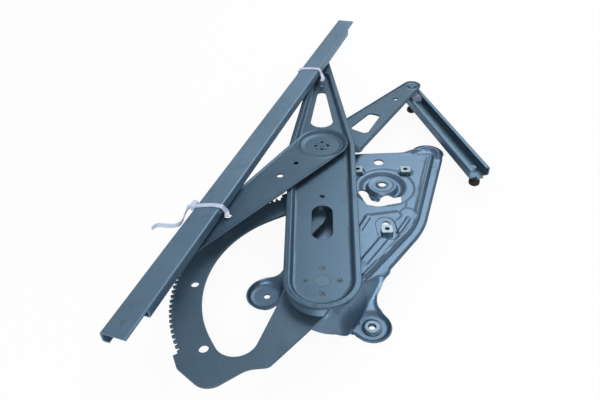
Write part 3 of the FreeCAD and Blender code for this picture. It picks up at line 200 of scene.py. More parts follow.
def pressed_sheet(name, outlines, holes, level, sheet, step, folds, seat=(0.0, 0.0, 0.0)):
    """A drawn sheet: its plan is the union of the outlines less the holes, its top follows level,
    its mesh is denser along the folds, and its seat is the place and turn of the plan."""
    loops = [belt(outline) for outline in outlines]
    rows = [belt(grown(outline, -inset)) for outline in outlines for inset in (0.45, 1.0, 1.7)]
    for i, (path, closed, reach) in enumerate(folds):
        count = math.ceil(reach / 0.8)
        own = np.concatenate([beside(path, reach * k / count, closed)
                              for k in range(-count, count + 1)])
        for earlier, shut, width in folds[:i]:
            own = own[path_distance(own, earlier, shut) > width + 0.45]
        rows.append(own)
    corners = np.concatenate(loops)
    low, high = corners.min(axis=0), corners.max(axis=0)
    across = np.arange(low[0], high[0], step)
    along = np.arange(low[1], high[1], step * 0.866)
    grid = np.array([(x + (k % 2) * step / 2.0, y) for k, y in enumerate(along) for x in across])
    rim = from_rim(grid, loops)
    clear = np.min([-inside(grid, hole) for hole in holes], axis=0)
    kept = (rim > 2.2) & (clear > 0.7)
    for path, closed, reach in folds:
        kept &= path_distance(grid, path, closed) > reach + 0.6
    grid = grid[kept]
    row_points = np.concatenate(rows)
    row_clear = np.min([-inside(row_points, hole) for hole in holes], axis=0)
    row_rim = from_rim(row_points, loops)
    row_points = row_points[(row_clear > 0.6) & (row_rim > 0.35)]
    # where two rows meet, the second point of a close pair is left out
    _, first = np.unique(np.round(row_points / 0.42), axis=0, return_index=True)
    row_points = row_points[np.sort(first)]
    points = np.concatenate(loops + holes + [row_points, grid])
    edges, faces, start = [], [], 0
    for loop in loops + holes:
        count = len(loop)
        faces.append([start + k for k in range(count)])
        start += count
    flat, _, triangles, _, _, origins = delaunay_2d_cdt(
        [Vector(p) for p in points], edges, faces, 0, 1e-4, True)
    kept = [triangle for triangle, origin in zip(triangles, origins)
            if origin and max(origin) < len(loops)]
    plan = np.array([tuple(p) for p in flat])
    height = level(plan, from_rim(plan, loops))
    turn = math.radians(seat[2])
    x = seat[0] + plan[:, 0] * math.cos(turn) - plan[:, 1] * math.sin(turn)
    y = seat[1] + plan[:, 0] * math.sin(turn) + plan[:, 1] * math.cos(turn)
    piece = new_piece(name, np.stack((x, y, height), axis=1), kept)
    wall = piece.modifiers.new("sheet", "SOLIDIFY")
    wall.thickness = sheet * MM
    wall.offset = -1.0
    bpy.ops.object.modifier_apply(modifier=wall.name)
    bpy.ops.object.shade_smooth_by_angle(angle=SHARP_EDGE)
    return piece


def link(tree, start, end):
    tree.links.new(start, end)


def new_material(name):
    material = bpy.data.materials.new(name)
    material.use_nodes = True
    tree = material.node_tree
    tree.nodes.clear()
    output = tree.nodes.new("ShaderNodeOutputMaterial")
    shader = tree.nodes.new("ShaderNodeBsdfPrincipled")
    link(tree, shader.outputs["BSDF"], output.inputs["Surface"])
    return material, tree, shader


def mapped(tree, scale, turn=0.0):
    """Object coordinates turned about +Z and stretched."""
    place = tree.nodes.new("ShaderNodeTexCoord")
    mapping = tree.nodes.new("ShaderNodeMapping")
    mapping.vector_type = "TEXTURE"
    mapping.inputs["Rotation"].default_value = (0.0, 0.0, math.radians(turn))
    mapping.inputs["Scale"].default_value = tuple(1.0 / s for s in scale)
    link(tree, place.outputs["Object"], mapping.inputs["Vector"])
    return mapping.outputs["Vector"]


def noise(tree, vector, detail=4.0, roughness=0.55):
    node = tree.nodes.new("ShaderNodeTexNoise")
    node.inputs["Scale"].default_value = 1.0
    node.inputs["Detail"].default_value = detail
    node.inputs["Roughness"].default_value = roughness
    link(tree, vector, node.inputs["Vector"])
    return node.outputs["Fac"]


def ramp(tree, factor, stops):
    """A colour or grey ramp from (position, colour) stops."""
    node = tree.nodes.new("ShaderNodeValToRGB")
    elements = node.color_ramp.elements
    while len(elements) < len(stops):
        elements.new(0.5)
    for element, (position, colour) in zip(elements, stops):
        element.position = position
        rgb = colour if isinstance(colour, tuple) else (colour,) * 3
        element.color = (*rgb, 1.0)
    link(tree, factor, node.inputs["Fac"])
    return node.outputs["Color"]


def mixed(tree, factor, first, second, mode="MIX"):
    node = tree.nodes.new("ShaderNodeMix")
    node.data_type = "RGBA"
    node.blend_type = mode
    for socket, value in (("Factor", factor), ("A", first), ("B", second)):
        target = [s for s in node.inputs if s.name == socket and s.enabled][0]
        if isinstance(value, (float, tuple)):
            target.default_value = (*value, 1.0) if isinstance(value, tuple) else value
        else:
            link(tree, value, target)
    return [s for s in node.outputs if s.enabled][0]


def bumped(tree, shader, height, strength, distance, edge=0.0):
    """Fine relief over edges that are rounded by a radius."""
    bump = tree.nodes.new("ShaderNodeBump")
    bump.inputs["Strength"].default_value = strength
    bump.inputs["Distance"].default_value = distance
    link(tree, height, bump.inputs["Height"])
    if edge:
        rounded = tree.nodes.new("ShaderNodeBevel")
        rounded.samples = 6
        rounded.inputs["Radius"].default_value = edge
        link(tree, rounded.outputs["Normal"], bump.inputs["Normal"])
    link(tree, bump.outputs["Normal"], shader.inputs["Normal"])


def sheet_steel(name, dark, light, strip_turn, gloss=0.36, metal=0.8, edge=0.0007):
    """Zinc-coated sheet whose rolling grain runs along the strip."""
    material, tree, shader = new_material(name)
    clouds = noise(tree, mapped(tree, (16.0, 16.0, 16.0)), detail=3.0)
    coating = ramp(tree, clouds, [(0.30, dark), (0.72, light)])
    grain = noise(tree, mapped(tree, (2600.0, 70.0, 2600.0), strip_turn), detail=2.0)
    grained = mixed(tree, 1.0, coating, ramp(tree, grain, [(0.25, 0.90), (0.75, 1.04)]), "MULTIPLY")
    speckle = noise(tree, mapped(tree, (1500.0, 1500.0, 1500.0)), detail=2.0)
    speckled = mixed(tree, 1.0, grained, ramp(tree, speckle, [(0.35, 0.92), (0.62, 1.03)]),
                     "MULTIPLY")
    # light handling scratches, and the oil smudges that press work leaves
    scratch = noise(tree, mapped(tree, (20.0, 1000.0, 20.0), strip_turn + 62.0), detail=1.0)
    scratched = mixed(tree, ramp(tree, scratch, [(0.745, 0.0), (0.77, 0.35)]), speckled,
                      tuple(c * 1.5 for c in light))
    smudge = noise(tree, mapped(tree, (34.0, 34.0, 34.0)), detail=6.0, roughness=0.65)
    smudged = mixed(tree, 1.0, scratched, ramp(tree, smudge, [(0.56, 1.0), (0.74, 0.80)]),
                    "MULTIPLY")
    link(tree, smudged, shader.inputs["Base Color"])
    shader.inputs["Metallic"].default_value = metal
    rough = ramp(tree, clouds, [(0.25, gloss - 0.05), (0.75, gloss + 0.08)])
    link(tree, mixed(tree, 0.2, rough, grain), shader.inputs["Roughness"])
    bumped(tree, shader, mixed(tree, 0.5, speckle, grain), 0.09, 0.0003, edge)
    return material


def dress(thing, material):
    """Put the material on every slot of a piece or node."""
    for slot in thing.material_slots:
        slot.material = material
    if not thing.material_slots:
        thing.data.materials.append(material)


PLATE = [(*PIVOT, 33.0), (-5.9, -152.9, -12.0), (*RIGHT_BEND, 110.0), (61.5, 62.5, 18.5),
         (34.0, 85.0, -13.0), (-39.6, 60.4, 10.0), (-85.6, -105.6, 14.0)]
PLATE_WEB = [(*PIVOT, 29.0), (-18.0, -147.7, -10.0), (*RIGHT_BEND, 101.0), (59.0, 62.5, 10.0),
             (34.0, 85.0, -16.5), (-39.6, 60.4, 6.5), (-85.6, -105.6, 10.5)]
DRIVE_WINDOW = [(-26.5, -9.5, 2.0), (-17.0, -30.5, 3.5), (-7.0, -32.0, 4.8), (8.0, -44.5, -11.0),
                (17.0, -28.5, 2.5), (17.5, -17.0, 2.5), (-2.3, -19.4, 1.2), (-8.6, -18.5, -4.5),
                (-21.5, -3.5, 2.0)]
LOWER_SEAT = [(-2.0, -65.5, 10.5), (-3.0, -81.5, 8.5), (2.0, -82.0, 8.5)]
UPPER_NUTS = [(29.5, 26.56), (-27.08, 29.03)]
# Stiffening ribs: their spine and half width; pressed lines: their path.
RIBS = [((-29.5, -74.4), (-20.5, -56.6), 3.0), ((-28.2, -123.1), (-5.8, -89.9), 4.4),
        ((11.5, -79.4), (23.5, -58.6), 2.3), ((-18.7, -51.0), (11.8, -46.2), 1.2)]
PRESSED_LINES = [
    [(59.3, 57.0), (48.5, 20.0), (39.3, -15.9), (31.0, -46.0)],
    [(24.4, -28.5), (22.4, -38.0), (14.4, -46.5), (16.6, -52.0), (11.8, -58.2), (7.5, -61.0)],
    [(22.2, -39.1), (31.6, -42.7), (33.0, -52.0), (22.0, -75.0), (4.0, -99.0), (-14.0, -119.0)],
]
# Each foot: its hole, the turn of its plan, the plan, its raised edge, and the flat of its pad;
# the front foot has a long neck instead, whose levels go by the reach from its hole.
FEET = [
    (-23.0, -179.4, 100.0,
     [(0.0, 0.0, 18.0), (22.6, -19.8, -9.7), (48.2, -22.7, 7.0), (26.0, 40.0, 6.0)], 1.8, None),
    (-127.4, -138.4, -12.0, [(0.0, 0.0, 19.5), (43.5, -20.0, 6.0), (43.5, 20.0, 6.0)], 3.0, 13.0),
    (69.4, 102.4, -116.0, [(0.0, 0.0, 19.5), (42.0, -7.0, 6.0), (42.0, 6.0, 6.0)], 3.0, 12.5),
]
FOOT_RIB = np.array([(-46.5, -179.0), (-36.5, -173.5)])
# The raised part of the plate, which ends in a wall at the front foot.
RAISED = np.array([(-69.6, -191.6), (-56.6, -188.1), (-47.1, -178.6), (-39.5, -165.5),
                   (-31.5, -150.0), (-13.0, -130.0), (32.0, -95.0), (32.0, 0.0), (-140.0, 0.0),
                   (-140.0, -165.0), (-95.6, -165.6), (-92.1, -178.6), (-82.6, -188.1)])
NECK_REACH, NECK_LEVEL = [14.0, 19.0, 28.0, 44.0, 56.0], [-33.0, -31.5, -24.0, -7.0, -5.0]
BORDER, WEB, PAD = -2.5, -1.0, -33.0
BEAD = [(-28.8, -140.3, 0.1), (*RIGHT_BEND, 98.0), (65.7, 60.6, 0.1)]
bead = belt(BEAD, closed=False)
bead_side = belt(BEAD + [(-150.0, 90.0, 0.1), (-150.0, -150.0, 0.1)])


def turned_plan(x, y, turn, circles):
    """Circles of a foot's plan, set in the plate's plan."""
    across, along = math.cos(math.radians(turn)), math.sin(math.radians(turn))
    return [(x + cx * across - cy * along, y + cx * along + cy * across, r)
            for cx, cy, r in circles]


def plate_height(points, rim):
    """Top of the base plate."""
    in_plate = inside(points, belt(PLATE))
    in_web = inside(points, belt(PLATE_WEB))
    pivot = away_from(points, *PIVOT)
    height = toward(np.full(len(points), BORDER), WEB, eased((in_web + 0.8) / 2.4))
    # the step along the right edge, the ribs, the pressed lines and the nut seats
    beyond = -np.sign(inside(points, bead_side)) * path_distance(points, bead)
    step_down = 0.7 * eased((beyond + 3.0) / 3.0) - 4.2 * eased(beyond / 4.2)
    height += step_down * eased((67.0 - points[:, 1]) / 10.0) * eased((points[:, 1] + 152.0) / 16.0)
    for start, end, width in RIBS:
        spine = np.array([start, end])
        height += 1.5 * eased((width + 0.9 - path_distance(points, spine)) / 2.2)
    height -= 0.6 * eased(1.0 - abs(away_from(points, 1.7, -1.0) - 34.7) / 1.4)
    for line in PRESSED_LINES:
        height -= 0.55 * eased(1.0 - path_distance(points, np.array(line)) / 1.3)
    for x, y in UPPER_NUTS:
        height -= 0.8 * eased((9.2 - away_from(points, x, y)) / 1.0)
    height -= 0.8 * eased((inside(points, belt(LOWER_SEAT)) + 0.4) / 1.0)
    # the motor's pad and collar, in a funnel-shaped trough
    pilot = away_from(points, 0.0, 0.0)
    height = toward(height, -4.8, eased((28.5 - pilot) / 7.5))
    height = toward(height, 1.0, eased((19.0 - pilot) / 3.0))
    height = toward(height, 0.5, eased((13.5 - pilot) / 1.2))
    height = toward(height, 1.8, eased((6.9 - pilot) / 0.9))
    # the edge turns down, and rolls up and over at the ear
    ear = eased((points[:, 0] - 28.0) / 16.0) * eased((points[:, 1] - 54.0) / 12.0)
    turn_edge = eased(1.0 - rim / 2.6)
    roll = 3.6 * eased(1.0 - abs(in_plate - 5.0) / 5.0) - 3.0 * eased(1.0 - in_plate / 3.4)
    # a skirt goes down round the heel, and the feet flow down from the border to their pads
    bearing = np.degrees(np.arctan2(points[:, 1] - PIVOT[1], points[:, 0] - PIVOT[0]))
    skirt = np.interp(bearing, [-175.0, -115.0, -68.0, -45.0, -30.0, -12.0],
                      [BORDER, -13.0, -22.0, PAD, PAD, BORDER])
    around = eased((pivot - 27.0) / 7.5) * eased((PIVOT[1] + 9.0 - points[:, 1]) / 14.0)
    around *= eased((away_from(points, *FEET[0][:2]) - 17.5) / 4.0)
    slid = np.zeros(len(points))
    for x, y, turn, plan, edge, flat in FEET:
        in_foot = inside(points, belt(turned_plan(x, y, turn, plan)))
        reach = away_from(points, x, y)
        share = np.maximum(eased(in_foot / 4.0), eased(-in_plate / 3.0)) * (in_foot > -0.01)
        if flat is None:
            share = np.maximum(share, eased((56.0 - reach) / 14.0))
            slope = eased(-inside(points, RAISED) / 7.5) * share
            low = np.interp(reach, NECK_REACH, NECK_LEVEL)
        else:
            start, rest = np.maximum(-in_plate, 0.0), np.maximum(reach - flat, 0.0)
            slope = eased((start / (start + rest + 1e-6) - 0.1) / 0.9) * share
            low = PAD
        height = toward(height, low, slope)
        slope = slope * (BORDER - low) / (BORDER - PAD)
        height += edge * turn_edge * eased((slope - 0.5) / 0.4)
        slid = np.maximum(slid, slope)
    height = np.minimum(height, toward(height, skirt, around))
    free = eased(1.0 - slid / 0.5)
    height -= 2.2 * turn_edge * (1.0 - ear) * free * eased((pivot - 38.0) / 8.0)
    height += roll * ear * (1.0 - slid)
    # a sharp rib stiffens the corner between the heel's skirt and the front foot
    height += 3.4 * eased(1.0 - path_distance(points, FOOT_RIB) / 2.6)
    # the boss under the main arm
    return toward(height, 6.0, eased((27.0 - pivot) / 7.0))


plate_holes = [ring(0.0, 0.0, 4.5), ring(-0.3, 47.5, 6.0), ring(-1.4, -64.9, 4.0),
               ring(*PIVOT, 9.05), belt(DRIVE_WINDOW), ring(-1.4, -78.5, 3.2)]
plate_holes += [ring(x, y, 3.2) for x, y in UPPER_NUTS]
plate_holes += [ring(x, y, 3.3) for x, y, *rest in FEET]
plate_outlines = [PLATE] + [turned_plan(x, y, turn, plan) for x, y, turn, plan, *rest in FEET]
heel_turn = np.radians(np.arange(-172.0, 2.0, 2.4))
heel = np.array(PIVOT) + 30.5 * np.stack((np.cos(heel_turn), np.sin(heel_turn)), axis=1)
wall_line = divided(RAISED[2:6] + (2.2, -2.2))
ear_line = belt(grown(PLATE, -4.4))
ear_line = ear_line[(ear_line[:, 0] > 27.0) & (ear_line[:, 1] > 38.0)]
plate_folds = [(bead, False, 4.0), (ear_line, False, 4.2), (belt(PLATE_WEB), True, 2.4),
               (heel, False, 4.0), (wall_line, False, 4.0), (ring(1.7, -1.0, 34.7), True, 1.4),
               (ring(0.0, 0.0, 24.5), True, 3.2), (ring(0.0, 0.0, 17.5), True, 2.4),
               (ring(0.0, 0.0, 12.9), True, 0.8), (ring(0.0, 0.0, 6.5), True, 0.8),
               (belt(LOWER_SEAT), True, 0.9)]
plate_folds += [(divided(line), False, 1.3) for line in PRESSED_LINES]
plate_folds += [(ring(x, y, 8.7), True, 0.8) for x, y in UPPER_NUTS]
plate_folds += [(divided([start, end]), False, width + 1.2) for start, end, width in RIBS]
base_plate = pressed_sheet("drawn_base_plate", plate_outlines, plate_holes, plate_height, 2.0, 1.7,
                           plate_folds)
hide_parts("base_plate")
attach(base_plate, "base")
dress(base_plate, sheet_steel("plate_steel", (0.135, 0.21, 0.295), (0.165, 0.25, 0.345), 0.0,
                              gloss=0.41, metal=0.9, edge=0.0004))

# Main arm. A sheet-steel pressing: a flat border stands above a long recessed web, which runs
# up between the two legs of the fork; the slot and the fork's opening are punched through it.
ARM = [(0.0, 0.0, 36.5), (0.0, 219.0, 40.0), (0.0, 438.0, 12.0), (0.0, 219.0, 40.0)]
ARM_WEB = [(0.0, 0.0, 30.0), (0.0, 219.0, 33.5), (0.0, 398.0, 10.6), (0.0, 219.0, 33.5)]


def arm_height(points, rim):
    """Top of the main arm."""
    in_web = inside(points, belt(ARM_WEB))
    height = np.full(len(points), 22.6)
    height = toward(height, 19.0, eased((in_web + 0.6) / 3.6))
    height += 0.35 * eased(1.0 - abs(in_web + 1.4) / 1.4)
    return height - 0.5 * eased(1.0 - rim / 1.2)


arm_holes = [belt([(0.0, 66.5, 11.0), (0.0, 97.5, 11.0)]),
             belt([(0.0, 279.0, 14.5), (0.0, 352.0, 6.0)]),
             ring(0.0, 123.7, 3.0), ring(0.0, 376.6, 3.0), ring(0.0, 219.0, 12.0),
             ring(0.0, 0.0, 7.5), ring(0.0, 438.0, 4.0)]
RIVET_PLACES = ((16, 0), (0, 16), (-16, 0), (0, -16))
arm_holes += [ring(x, y, 2.6, 0.8) for x, y in RIVET_PLACES]
main_arm = pressed_sheet("pressed_main_arm", [ARM], arm_holes, arm_height, 2.5, 2.6,
                         [(belt(grown(ARM_WEB, -0.6)), True, 2.4)], (*PIVOT, 0.0))
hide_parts("main_arm")
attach(main_arm, "main_arm")
ARM_TONES = ((0.08, 0.135, 0.19), (0.10, 0.165, 0.23))
dress(main_arm, sheet_steel("main_arm_steel", *ARM_TONES, 0.0))

# Balance arm. Two halves meet through the main arm: the upper one ends in a round dish that
# sits in the main arm's web, and the lower one rises from the guide to a seat under it.
CROSSING_TURN = -36.85
UPPER = [(0.0, 0.0, 31.5), (0.0, 219.0, 13.5)]
LOWER = [(0.0, 0.0, 35.5), (0.0, 219.0, 12.5)]
RIVETS = [(0.0, 0.0), (6.0, 4.5), (-4.5, 6.0), (-6.0, -4.5), (4.5, -6.0)]


def upper_height(points, rim):
    """Top of the balance arm's upper half."""
    centre = away_from(points, 0.0, 0.0)
    height = 25.1 + 1.0 * eased(1.0 - (rim - 0.4) / 2.0) * (rim < 3.0)
    height -= 0.5 * eased(1.0 - rim / 0.9)
    height += 0.35 * eased(1.0 - abs(centre - 29.6) / 1.6) * (rim > 2.0)
    height = toward(height, 22.1, eased((29.3 - centre) / 4.6))
    return toward(height, 21.5, eased((23.6 - centre) / 1.8))


def lower_height(points, rim):
    """Top of the balance arm's lower half."""
    centre = away_from(points, 0.0, 0.0)
    lip = np.where(points[:, 0] > 0.0, 3.0, 2.0)
    height = 4.0 + 2.0 * eased(1.0 - (rim - 0.5) / lip) * eased((centre - 50.0) / 4.0)
    height -= 0.4 * eased(1.0 - rim / 0.9)
    height += 0.7 * eased(1.0 - abs(away_from(points, 0.0, 219.0) - 9.0) / 2.4)
    return toward(height, 16.2, eased((51.0 - centre) / 16.0))


upper_holes = [ring(0.0, 50.0, 3.0), ring(0.0, 79.0, 4.0), ring(0.0, 164.0, 4.0),
               ring(0.0, 219.0, 4.0)] + [ring(x, y, 2.0, 0.7) for x, y in RIVETS]
dish_folds = [(ring(0.0, 0.0, radius), True, reach)
              for radius, reach in ((29.0, 1.6), (25.5, 1.6), (22.6, 0.8))]
upper_arm = pressed_sheet("pressed_upper_arm", [UPPER], upper_holes, upper_height, 2.2, 2.2,
                          dish_folds + [(belt(grown(UPPER, -2.4)), True, 0.8)],
                          (*CROSSING, CROSSING_TURN + 180.0))
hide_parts("balance_arm_upper")
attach(upper_arm, "balance_arm")
dress(upper_arm, sheet_steel("upper_arm_steel", *ARM_TONES, CROSSING_TURN))
lower_holes = [belt([(3.0, 120.0, 4.0), (-5.0, 118.0, 5.0), (-4.0, 81.0, 6.5), (9.0, 81.0, 6.0)]),
               ring(0.0, 174.0, 3.5), ring(0.0, 219.0, 4.0)]
lower_holes += [ring(x, y, 2.0, 0.7) for x, y in RIVETS]
lower_arm = pressed_sheet("pressed_lower_arm", [LOWER], lower_holes, lower_height, 2.5, 2.2,
                          [(belt(grown(LOWER, -2.9)), True, 1.2)], (*CROSSING, CROSSING_TURN))
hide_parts("balance_arm_lower")
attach(lower_arm, "balance_arm")
dress(lower_arm, sheet_steel("lower_arm_steel", *ARM_TONES, CROSSING_TURN))

# Sector. Blanked from flat sheet, raised to a round seat under the arm and toothed on its rim.
dress(nodes["sector_gear"], sheet_steel("sector_steel", (0.088, 0.145, 0.20), (0.105, 0.17, 0.23),
                                        20.0, 0.42, 0.7))

# Lift rail and guide. Roll-formed channels of zinc-coated strip with the grain along them.
dress(nodes["lift_rail"], sheet_steel("rail_steel", (0.155, 0.245, 0.335), (0.185, 0.285, 0.38),
                                      -18.4, 0.44, 0.75, 0.0010))
dress(nodes["guide_channel"], sheet_steel("guide_steel", (0.12, 0.20, 0.27), (0.15, 0.24, 0.32),
                                          16.4, 0.40, 0.8, 0.0010))


# Fasteners. Turned or headed steel with bright zinc plate, finely turned on their faces.
def zinc_plate(name, tone, gloss):
    material, tree, shader = new_material(name)
    patches = noise(tree, mapped(tree, (160.0, 160.0, 160.0)), detail=3.0)
    colour = ramp(tree, patches, [(0.3, tuple(c * 0.78 for c in tone)), (0.7, tone)])
    link(tree, colour, shader.inputs["Base Color"])
    shader.inputs["Metallic"].default_value = 0.95
    rough = ramp(tree, patches, [(0.25, gloss), (0.8, gloss + 0.14)])
    link(tree, rough, shader.inputs["Roughness"])
    bumped(tree, shader, noise(tree, mapped(tree, (2200.0, 2200.0, 2200.0))), 0.12, 0.0002, 0.0006)
    return material


bright_zinc = zinc_plate("bright_zinc", (0.23, 0.29, 0.32), 0.24)
dull_zinc = zinc_plate("dull_zinc", (0.12, 0.18, 0.235), 0.36)
for node in ("motor_nuts", "guide_studs", "rail_stop", "pivot_bush"):
    dress(nodes[node], bright_zinc)
dress(nodes["foot_clip"], zinc_plate("clip_zinc", (0.17, 0.25, 0.32), 0.30))
for node in ("sector_rivets", "main_pivot", "pivot_ring", "front_slider_pin", "crossing_rivets",
             "rear_slider_pin", "guide_slider_pin", "crossing_hub"):
    dress(nodes[node], dull_zinc)



# Sector rivets. Their heads are staked cold into the arm's holes, which leaves a raised ring
# round a dimple; the shanks go down through the sector. Turned about their own axes.
def turned_pieces(name, profile, places):
    """Revolve a (radius, height) profile from axis to axis about Z, and repeat it at the places."""
    steps = 28
    points, faces = [], []
    for x, y in places:
        first = len(points)
        for k in range(steps):
            turn = math.tau * k / steps
            points += [(x + r * math.cos(turn), y + r * math.sin(turn), z)
                       for r, z in profile[1:-1]]
        points += [(x, y, profile[0][1]), (x, y, profile[-1][1])]
        inner = len(profile) - 2
        for k in range(steps):
            here, ahead = first + k * inner, first + (k + 1) % steps * inner
            faces += [(here + j, ahead + j, ahead + j + 1, here + j + 1) for j in range(inner - 1)]
            faces += [(len(points) - 2, ahead, here),
                      (len(points) - 1, here + inner - 1, ahead + inner - 1)]
    piece = new_piece(name, points, faces)
    bpy.ops.object.shade_smooth_by_angle(angle=SHARP_EDGE)
    return piece


STAKED = [(0.0, 17.5), (0.7, 17.5), (1.05, 18.5), (1.3, 19.15), (1.8, 19.25), (2.2, 19.0),
          (2.3, 18.3), (2.55, 18.0), (2.55, 13.9), (0.0, 13.9)]
rivets = turned_pieces("staked_rivets", STAKED,
                       [(PIVOT[0] + x, PIVOT[1] + y) for x, y in RIVET_PLACES])
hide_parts("sector_rivets")
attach(rivets, "main_arm")
dress(rivets, bright_zinc)

# Sliders and the pivot washer: moulded natural nylon, slightly glossy where it rubs.
material, tree, shader = new_material("nylon")
cloudy = noise(tree, mapped(tree, (90.0, 90.0, 90.0)), detail=3.0)
link(tree, ramp(tree, cloudy, [(0.3, (0.34, 0.40, 0.52)), (0.7, (0.44, 0.50, 0.62))]),
     shader.inputs["Base Color"])
shader.inputs["Roughness"].default_value = 0.42
bumped(tree, shader, noise(tree, mapped(tree, (1200.0, 1200.0, 1200.0))), 0.08, 0.0002)
for node in ("front_slider", "rear_slider", "guide_slider", "pivot_washer"):
    dress(nodes[node], material)



# Shipping ties. Flat nylon strips, each laid over the lift rail and left with a free end; the
# lower one has a square lock from which its long tail curls away.
def strip(name, path, width, thick, across):
    """A flat strip along the path, its width along the direction across."""
    fine = []
    for i in range(len(path) - 1):
        before, start = np.array(path[max(i - 1, 0)]), np.array(path[i])
        end, after = np.array(path[i + 1]), np.array(path[min(i + 2, len(path) - 1)])
        for share in np.arange(0.0, 1.0, 0.125):
            fine.append(0.5 * (2.0 * start + (end - before) * share
                               + (2.0 * before - 5.0 * start + 4.0 * end - after) * share ** 2
                               + (3.0 * start - before - 3.0 * end + after) * share ** 3))
    fine = np.array(fine + [path[-1]])
    points, faces = [], []
    for place, run in zip(fine, np.gradient(fine, axis=0)):
        run /= np.linalg.norm(run)
        wide = np.array(across) - run * np.dot(across, run)
        wide /= np.linalg.norm(wide)
        up = np.cross(run, wide)
        points += [tuple(place + wide * a * width / 2.0 + up * b * thick / 2.0)
                   for a, b in ((-1, -1), (1, -1), (1, 1), (-1, 1))]
    for k in range(len(fine) - 1):
        faces += [(4 * k + j, 4 * k + (j + 1) % 4, 4 * k + 4 + (j + 1) % 4, 4 * k + 4 + j)
                  for j in range(4)]
    faces += [(3, 2, 1, 0), tuple(len(points) - 4 + j for j in range(4))]
    piece = new_piece(name, points, faces)
    edge = piece.modifiers.new("edge", "BEVEL")
    edge.width = 0.00025
    edge.segments = 2
    bpy.ops.object.modifier_apply(modifier=edge.name)
    bpy.ops.object.shade_smooth_by_angle(angle=SHARP_EDGE)
    return piece


TIP = (-69.6, 272.4)
rail_turn = math.radians(71.575)
RAIL_RUN = (math.cos(rail_turn), math.sin(rail_turn), 0.0)


def on_rail(places):
    """World places from (along the rail, across it, height), counted from the arm's tip."""
    return [(TIP[0] + along * RAIL_RUN[0] + across * RAIL_RUN[1],
             TIP[1] + along * RAIL_RUN[1] - across * RAIL_RUN[0], z)
            for along, across, z in places]


ties = [
    strip("upper_tie", on_rail([(-63.0, -14.1, 27.5), (-60.0, -14.1, 34.0), (-57.5, -13.6, 38.5),
                                (-54.5, -10.0, 39.2), (-50.5, 0.0, 39.2), (-49.5, 10.5, 39.2),
                                (-49.5, 13.8, 38.0), (-48.0, 15.6, 33.0), (-52.0, 18.6, 30.5),
                                (-58.1, 21.6, 30.0), (-65.8, 22.3, 30.0)]), 5.0, 1.1, RAIL_RUN),
    strip("lower_tie", on_rail([(-372.0, -14.2, 28.0), (-373.5, -14.2, 34.0), (-374.0, -13.6, 38.5),
                                (-372.5, -10.0, 39.2), (-367.8, 2.1, 39.2), (-366.6, 10.5, 39.2),
                                (-366.0, 13.8, 38.2), (-363.5, 14.9, 32.5), (-361.5, 15.6, 28.8),
                                (-368.2, 19.3, 28.2)]), 5.0, 1.1, RAIL_RUN),
    strip("tie_tail", on_rail([(-369.5, -17.5, 36.0), (-373.3, -22.5, 34.0), (-381.5, -22.4, 32.0),
                               (-389.0, -21.2, 30.5), (-395.1, -22.1, 29.6), (-398.9, -27.0, 29.4),
                               (-401.0, -35.2, 29.4), (-402.8, -43.2, 29.4),
                               (-408.8, -46.2, 29.4)]), 4.4, 1.1, (0.25, 0.35, 0.9)),
    strip("tie_lock", on_rail([(-375.6, -15.9, 36.8), (-366.4, -15.9, 36.8)]), 7.4, 5.0,
          (0.0, 0.0, 1.0)),
]
material, tree, shader = new_material("tie_nylon")
milky = noise(tree, mapped(tree, (140.0, 140.0, 140.0)), detail=3.0)
link(tree, ramp(tree, milky, [(0.3, (0.56, 0.62, 0.78)), (0.7, (0.70, 0.76, 0.90))]),
     shader.inputs["Base Color"])
shader.inputs["Roughness"].default_value = 0.38
serrated = noise(tree, mapped(tree, (900.0, 900.0, 900.0)), detail=2.0)
bumped(tree, shader, serrated, 0.15, 0.0003)
for tie in ties:
    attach(tie, "lift_rail")
    dress(tie, material)

# Stud caps: moulded black rubber.
material, tree, shader = new_material("black_rubber")
dust = noise(tree, mapped(tree, (300.0, 300.0, 300.0)), detail=4.0)
link(tree, ramp(tree, dust, [(0.4, (0.004, 0.005, 0.007)), (0.8, (0.012, 0.014, 0.018))]),
     shader.inputs["Base Color"])
link(tree, ramp(tree, dust, [(0.3, 0.38), (0.8, 0.62)]), shader.inputs["Roughness"])
bumped(tree, shader, dust, 0.15, 0.0003)
dress(nodes["stud_caps"], material)

# Floor: a plain white sweep that the camera sees as nearly even white, and that keeps shadows.
floor_level = cad_box[0][2]
bpy.ops.object.select_all(action="DESELECT")
bpy.ops.mesh.primitive_plane_add(size=12.0, location=(0.0, 0.0, floor_level))
floor = bpy.context.active_object
floor.name = "floor"
material = bpy.data.materials.new("white_floor")
material.use_nodes = True
tree = material.node_tree
tree.nodes.clear()
output = tree.nodes.new("ShaderNodeOutputMaterial")
matte = tree.nodes.new("ShaderNodeBsdfDiffuse")
matte.inputs["Color"].default_value = (1.0, 1.0, 1.0, 1.0)
glow = tree.nodes.new("ShaderNodeEmission")
glow.inputs["Color"].default_value = (1.0, 1.0, 1.0, 1.0)
glow.inputs["Strength"].default_value = 1.0
ray = tree.nodes.new("ShaderNodeLightPath")
share = tree.nodes.new("ShaderNodeMath")
share.operation = "MULTIPLY"
share.inputs[1].default_value = 0.93
link(tree, ray.outputs["Is Camera Ray"], share.inputs[0])
mix = tree.nodes.new("ShaderNodeMixShader")
link(tree, share.outputs[0], mix.inputs["Fac"])
link(tree, matte.outputs[0], mix.inputs[1])
link(tree, glow.outputs[0], mix.inputs[2])
link(tree, mix.outputs[0], output.inputs["Surface"])
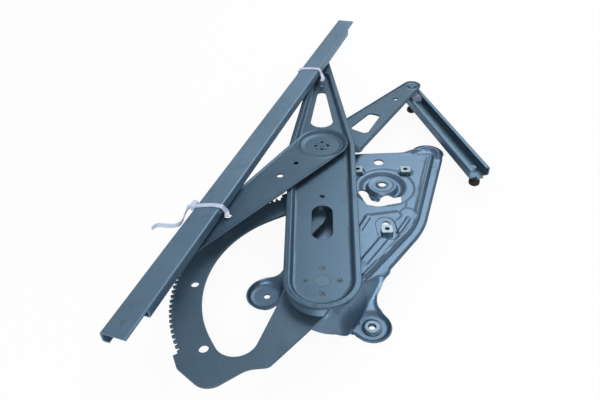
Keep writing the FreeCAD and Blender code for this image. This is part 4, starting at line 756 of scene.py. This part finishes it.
floor.data.materials.append(material)

# Studio light: a dim pale room, a wide soft lamp behind and above, and a small one in front.
world = bpy.data.worlds.new("studio")
bpy.context.scene.world = world
world.use_nodes = True
tree = world.node_tree
tree.nodes.clear()
output = tree.nodes.new("ShaderNodeOutputWorld")
room = tree.nodes.new("ShaderNodeBackground")
room.inputs["Color"].default_value = (0.86, 0.93, 1.0, 1.0)
room.inputs["Strength"].default_value = 0.5
white = tree.nodes.new("ShaderNodeBackground")
white.inputs["Color"].default_value = (1.0, 1.0, 1.0, 1.0)
white.inputs["Strength"].default_value = 1.0
ray = tree.nodes.new("ShaderNodeLightPath")
mix = tree.nodes.new("ShaderNodeMixShader")
link(tree, ray.outputs["Is Camera Ray"], mix.inputs["Fac"])
link(tree, room.outputs[0], mix.inputs[1])
link(tree, white.outputs[0], mix.inputs[2])
link(tree, mix.outputs[0], output.inputs["Surface"])


def soft_lamp(name, place, aim, size, watts):
    """A square area lamp turned to its aim."""
    lamp = bpy.data.lights.new(name, "AREA")
    lamp.size = size
    lamp.energy = watts
    thing = bpy.data.objects.new(name, lamp)
    bpy.context.collection.objects.link(thing)
    thing.location = place
    away = [a - p for a, p in zip(aim, place)]
    tilt = math.atan2(math.hypot(away[0], away[1]), -away[2])
    thing.rotation_euler = (tilt, 0.0, math.atan2(away[1], away[0]) - math.pi / 2.0)


centre = (-0.03, 0.05, 0.0)
soft_lamp("overhead_lamp", (0.38, 1.0, 1.3), centre, 1.0, 10.0)
soft_lamp("front_lamp", (0.0, -1.3, 0.9), centre, 0.6, 9.0)

# Camera: at the photograph's place, looking down at the regulator from below its pivot.
camera = bpy.data.cameras.new("camera")
camera.lens = 34.4
camera.sensor_width = 36.0
viewer = bpy.data.objects.new("camera", camera)
bpy.context.collection.objects.link(viewer)
viewer.location = (-0.061838, -0.528653, 0.413698)
viewer.rotation_euler = (math.radians(50.6627), math.radians(2.6887), math.radians(1.5679))
bpy.context.scene.camera = viewer

bpy.context.scene.view_settings.view_transform = "Standard"
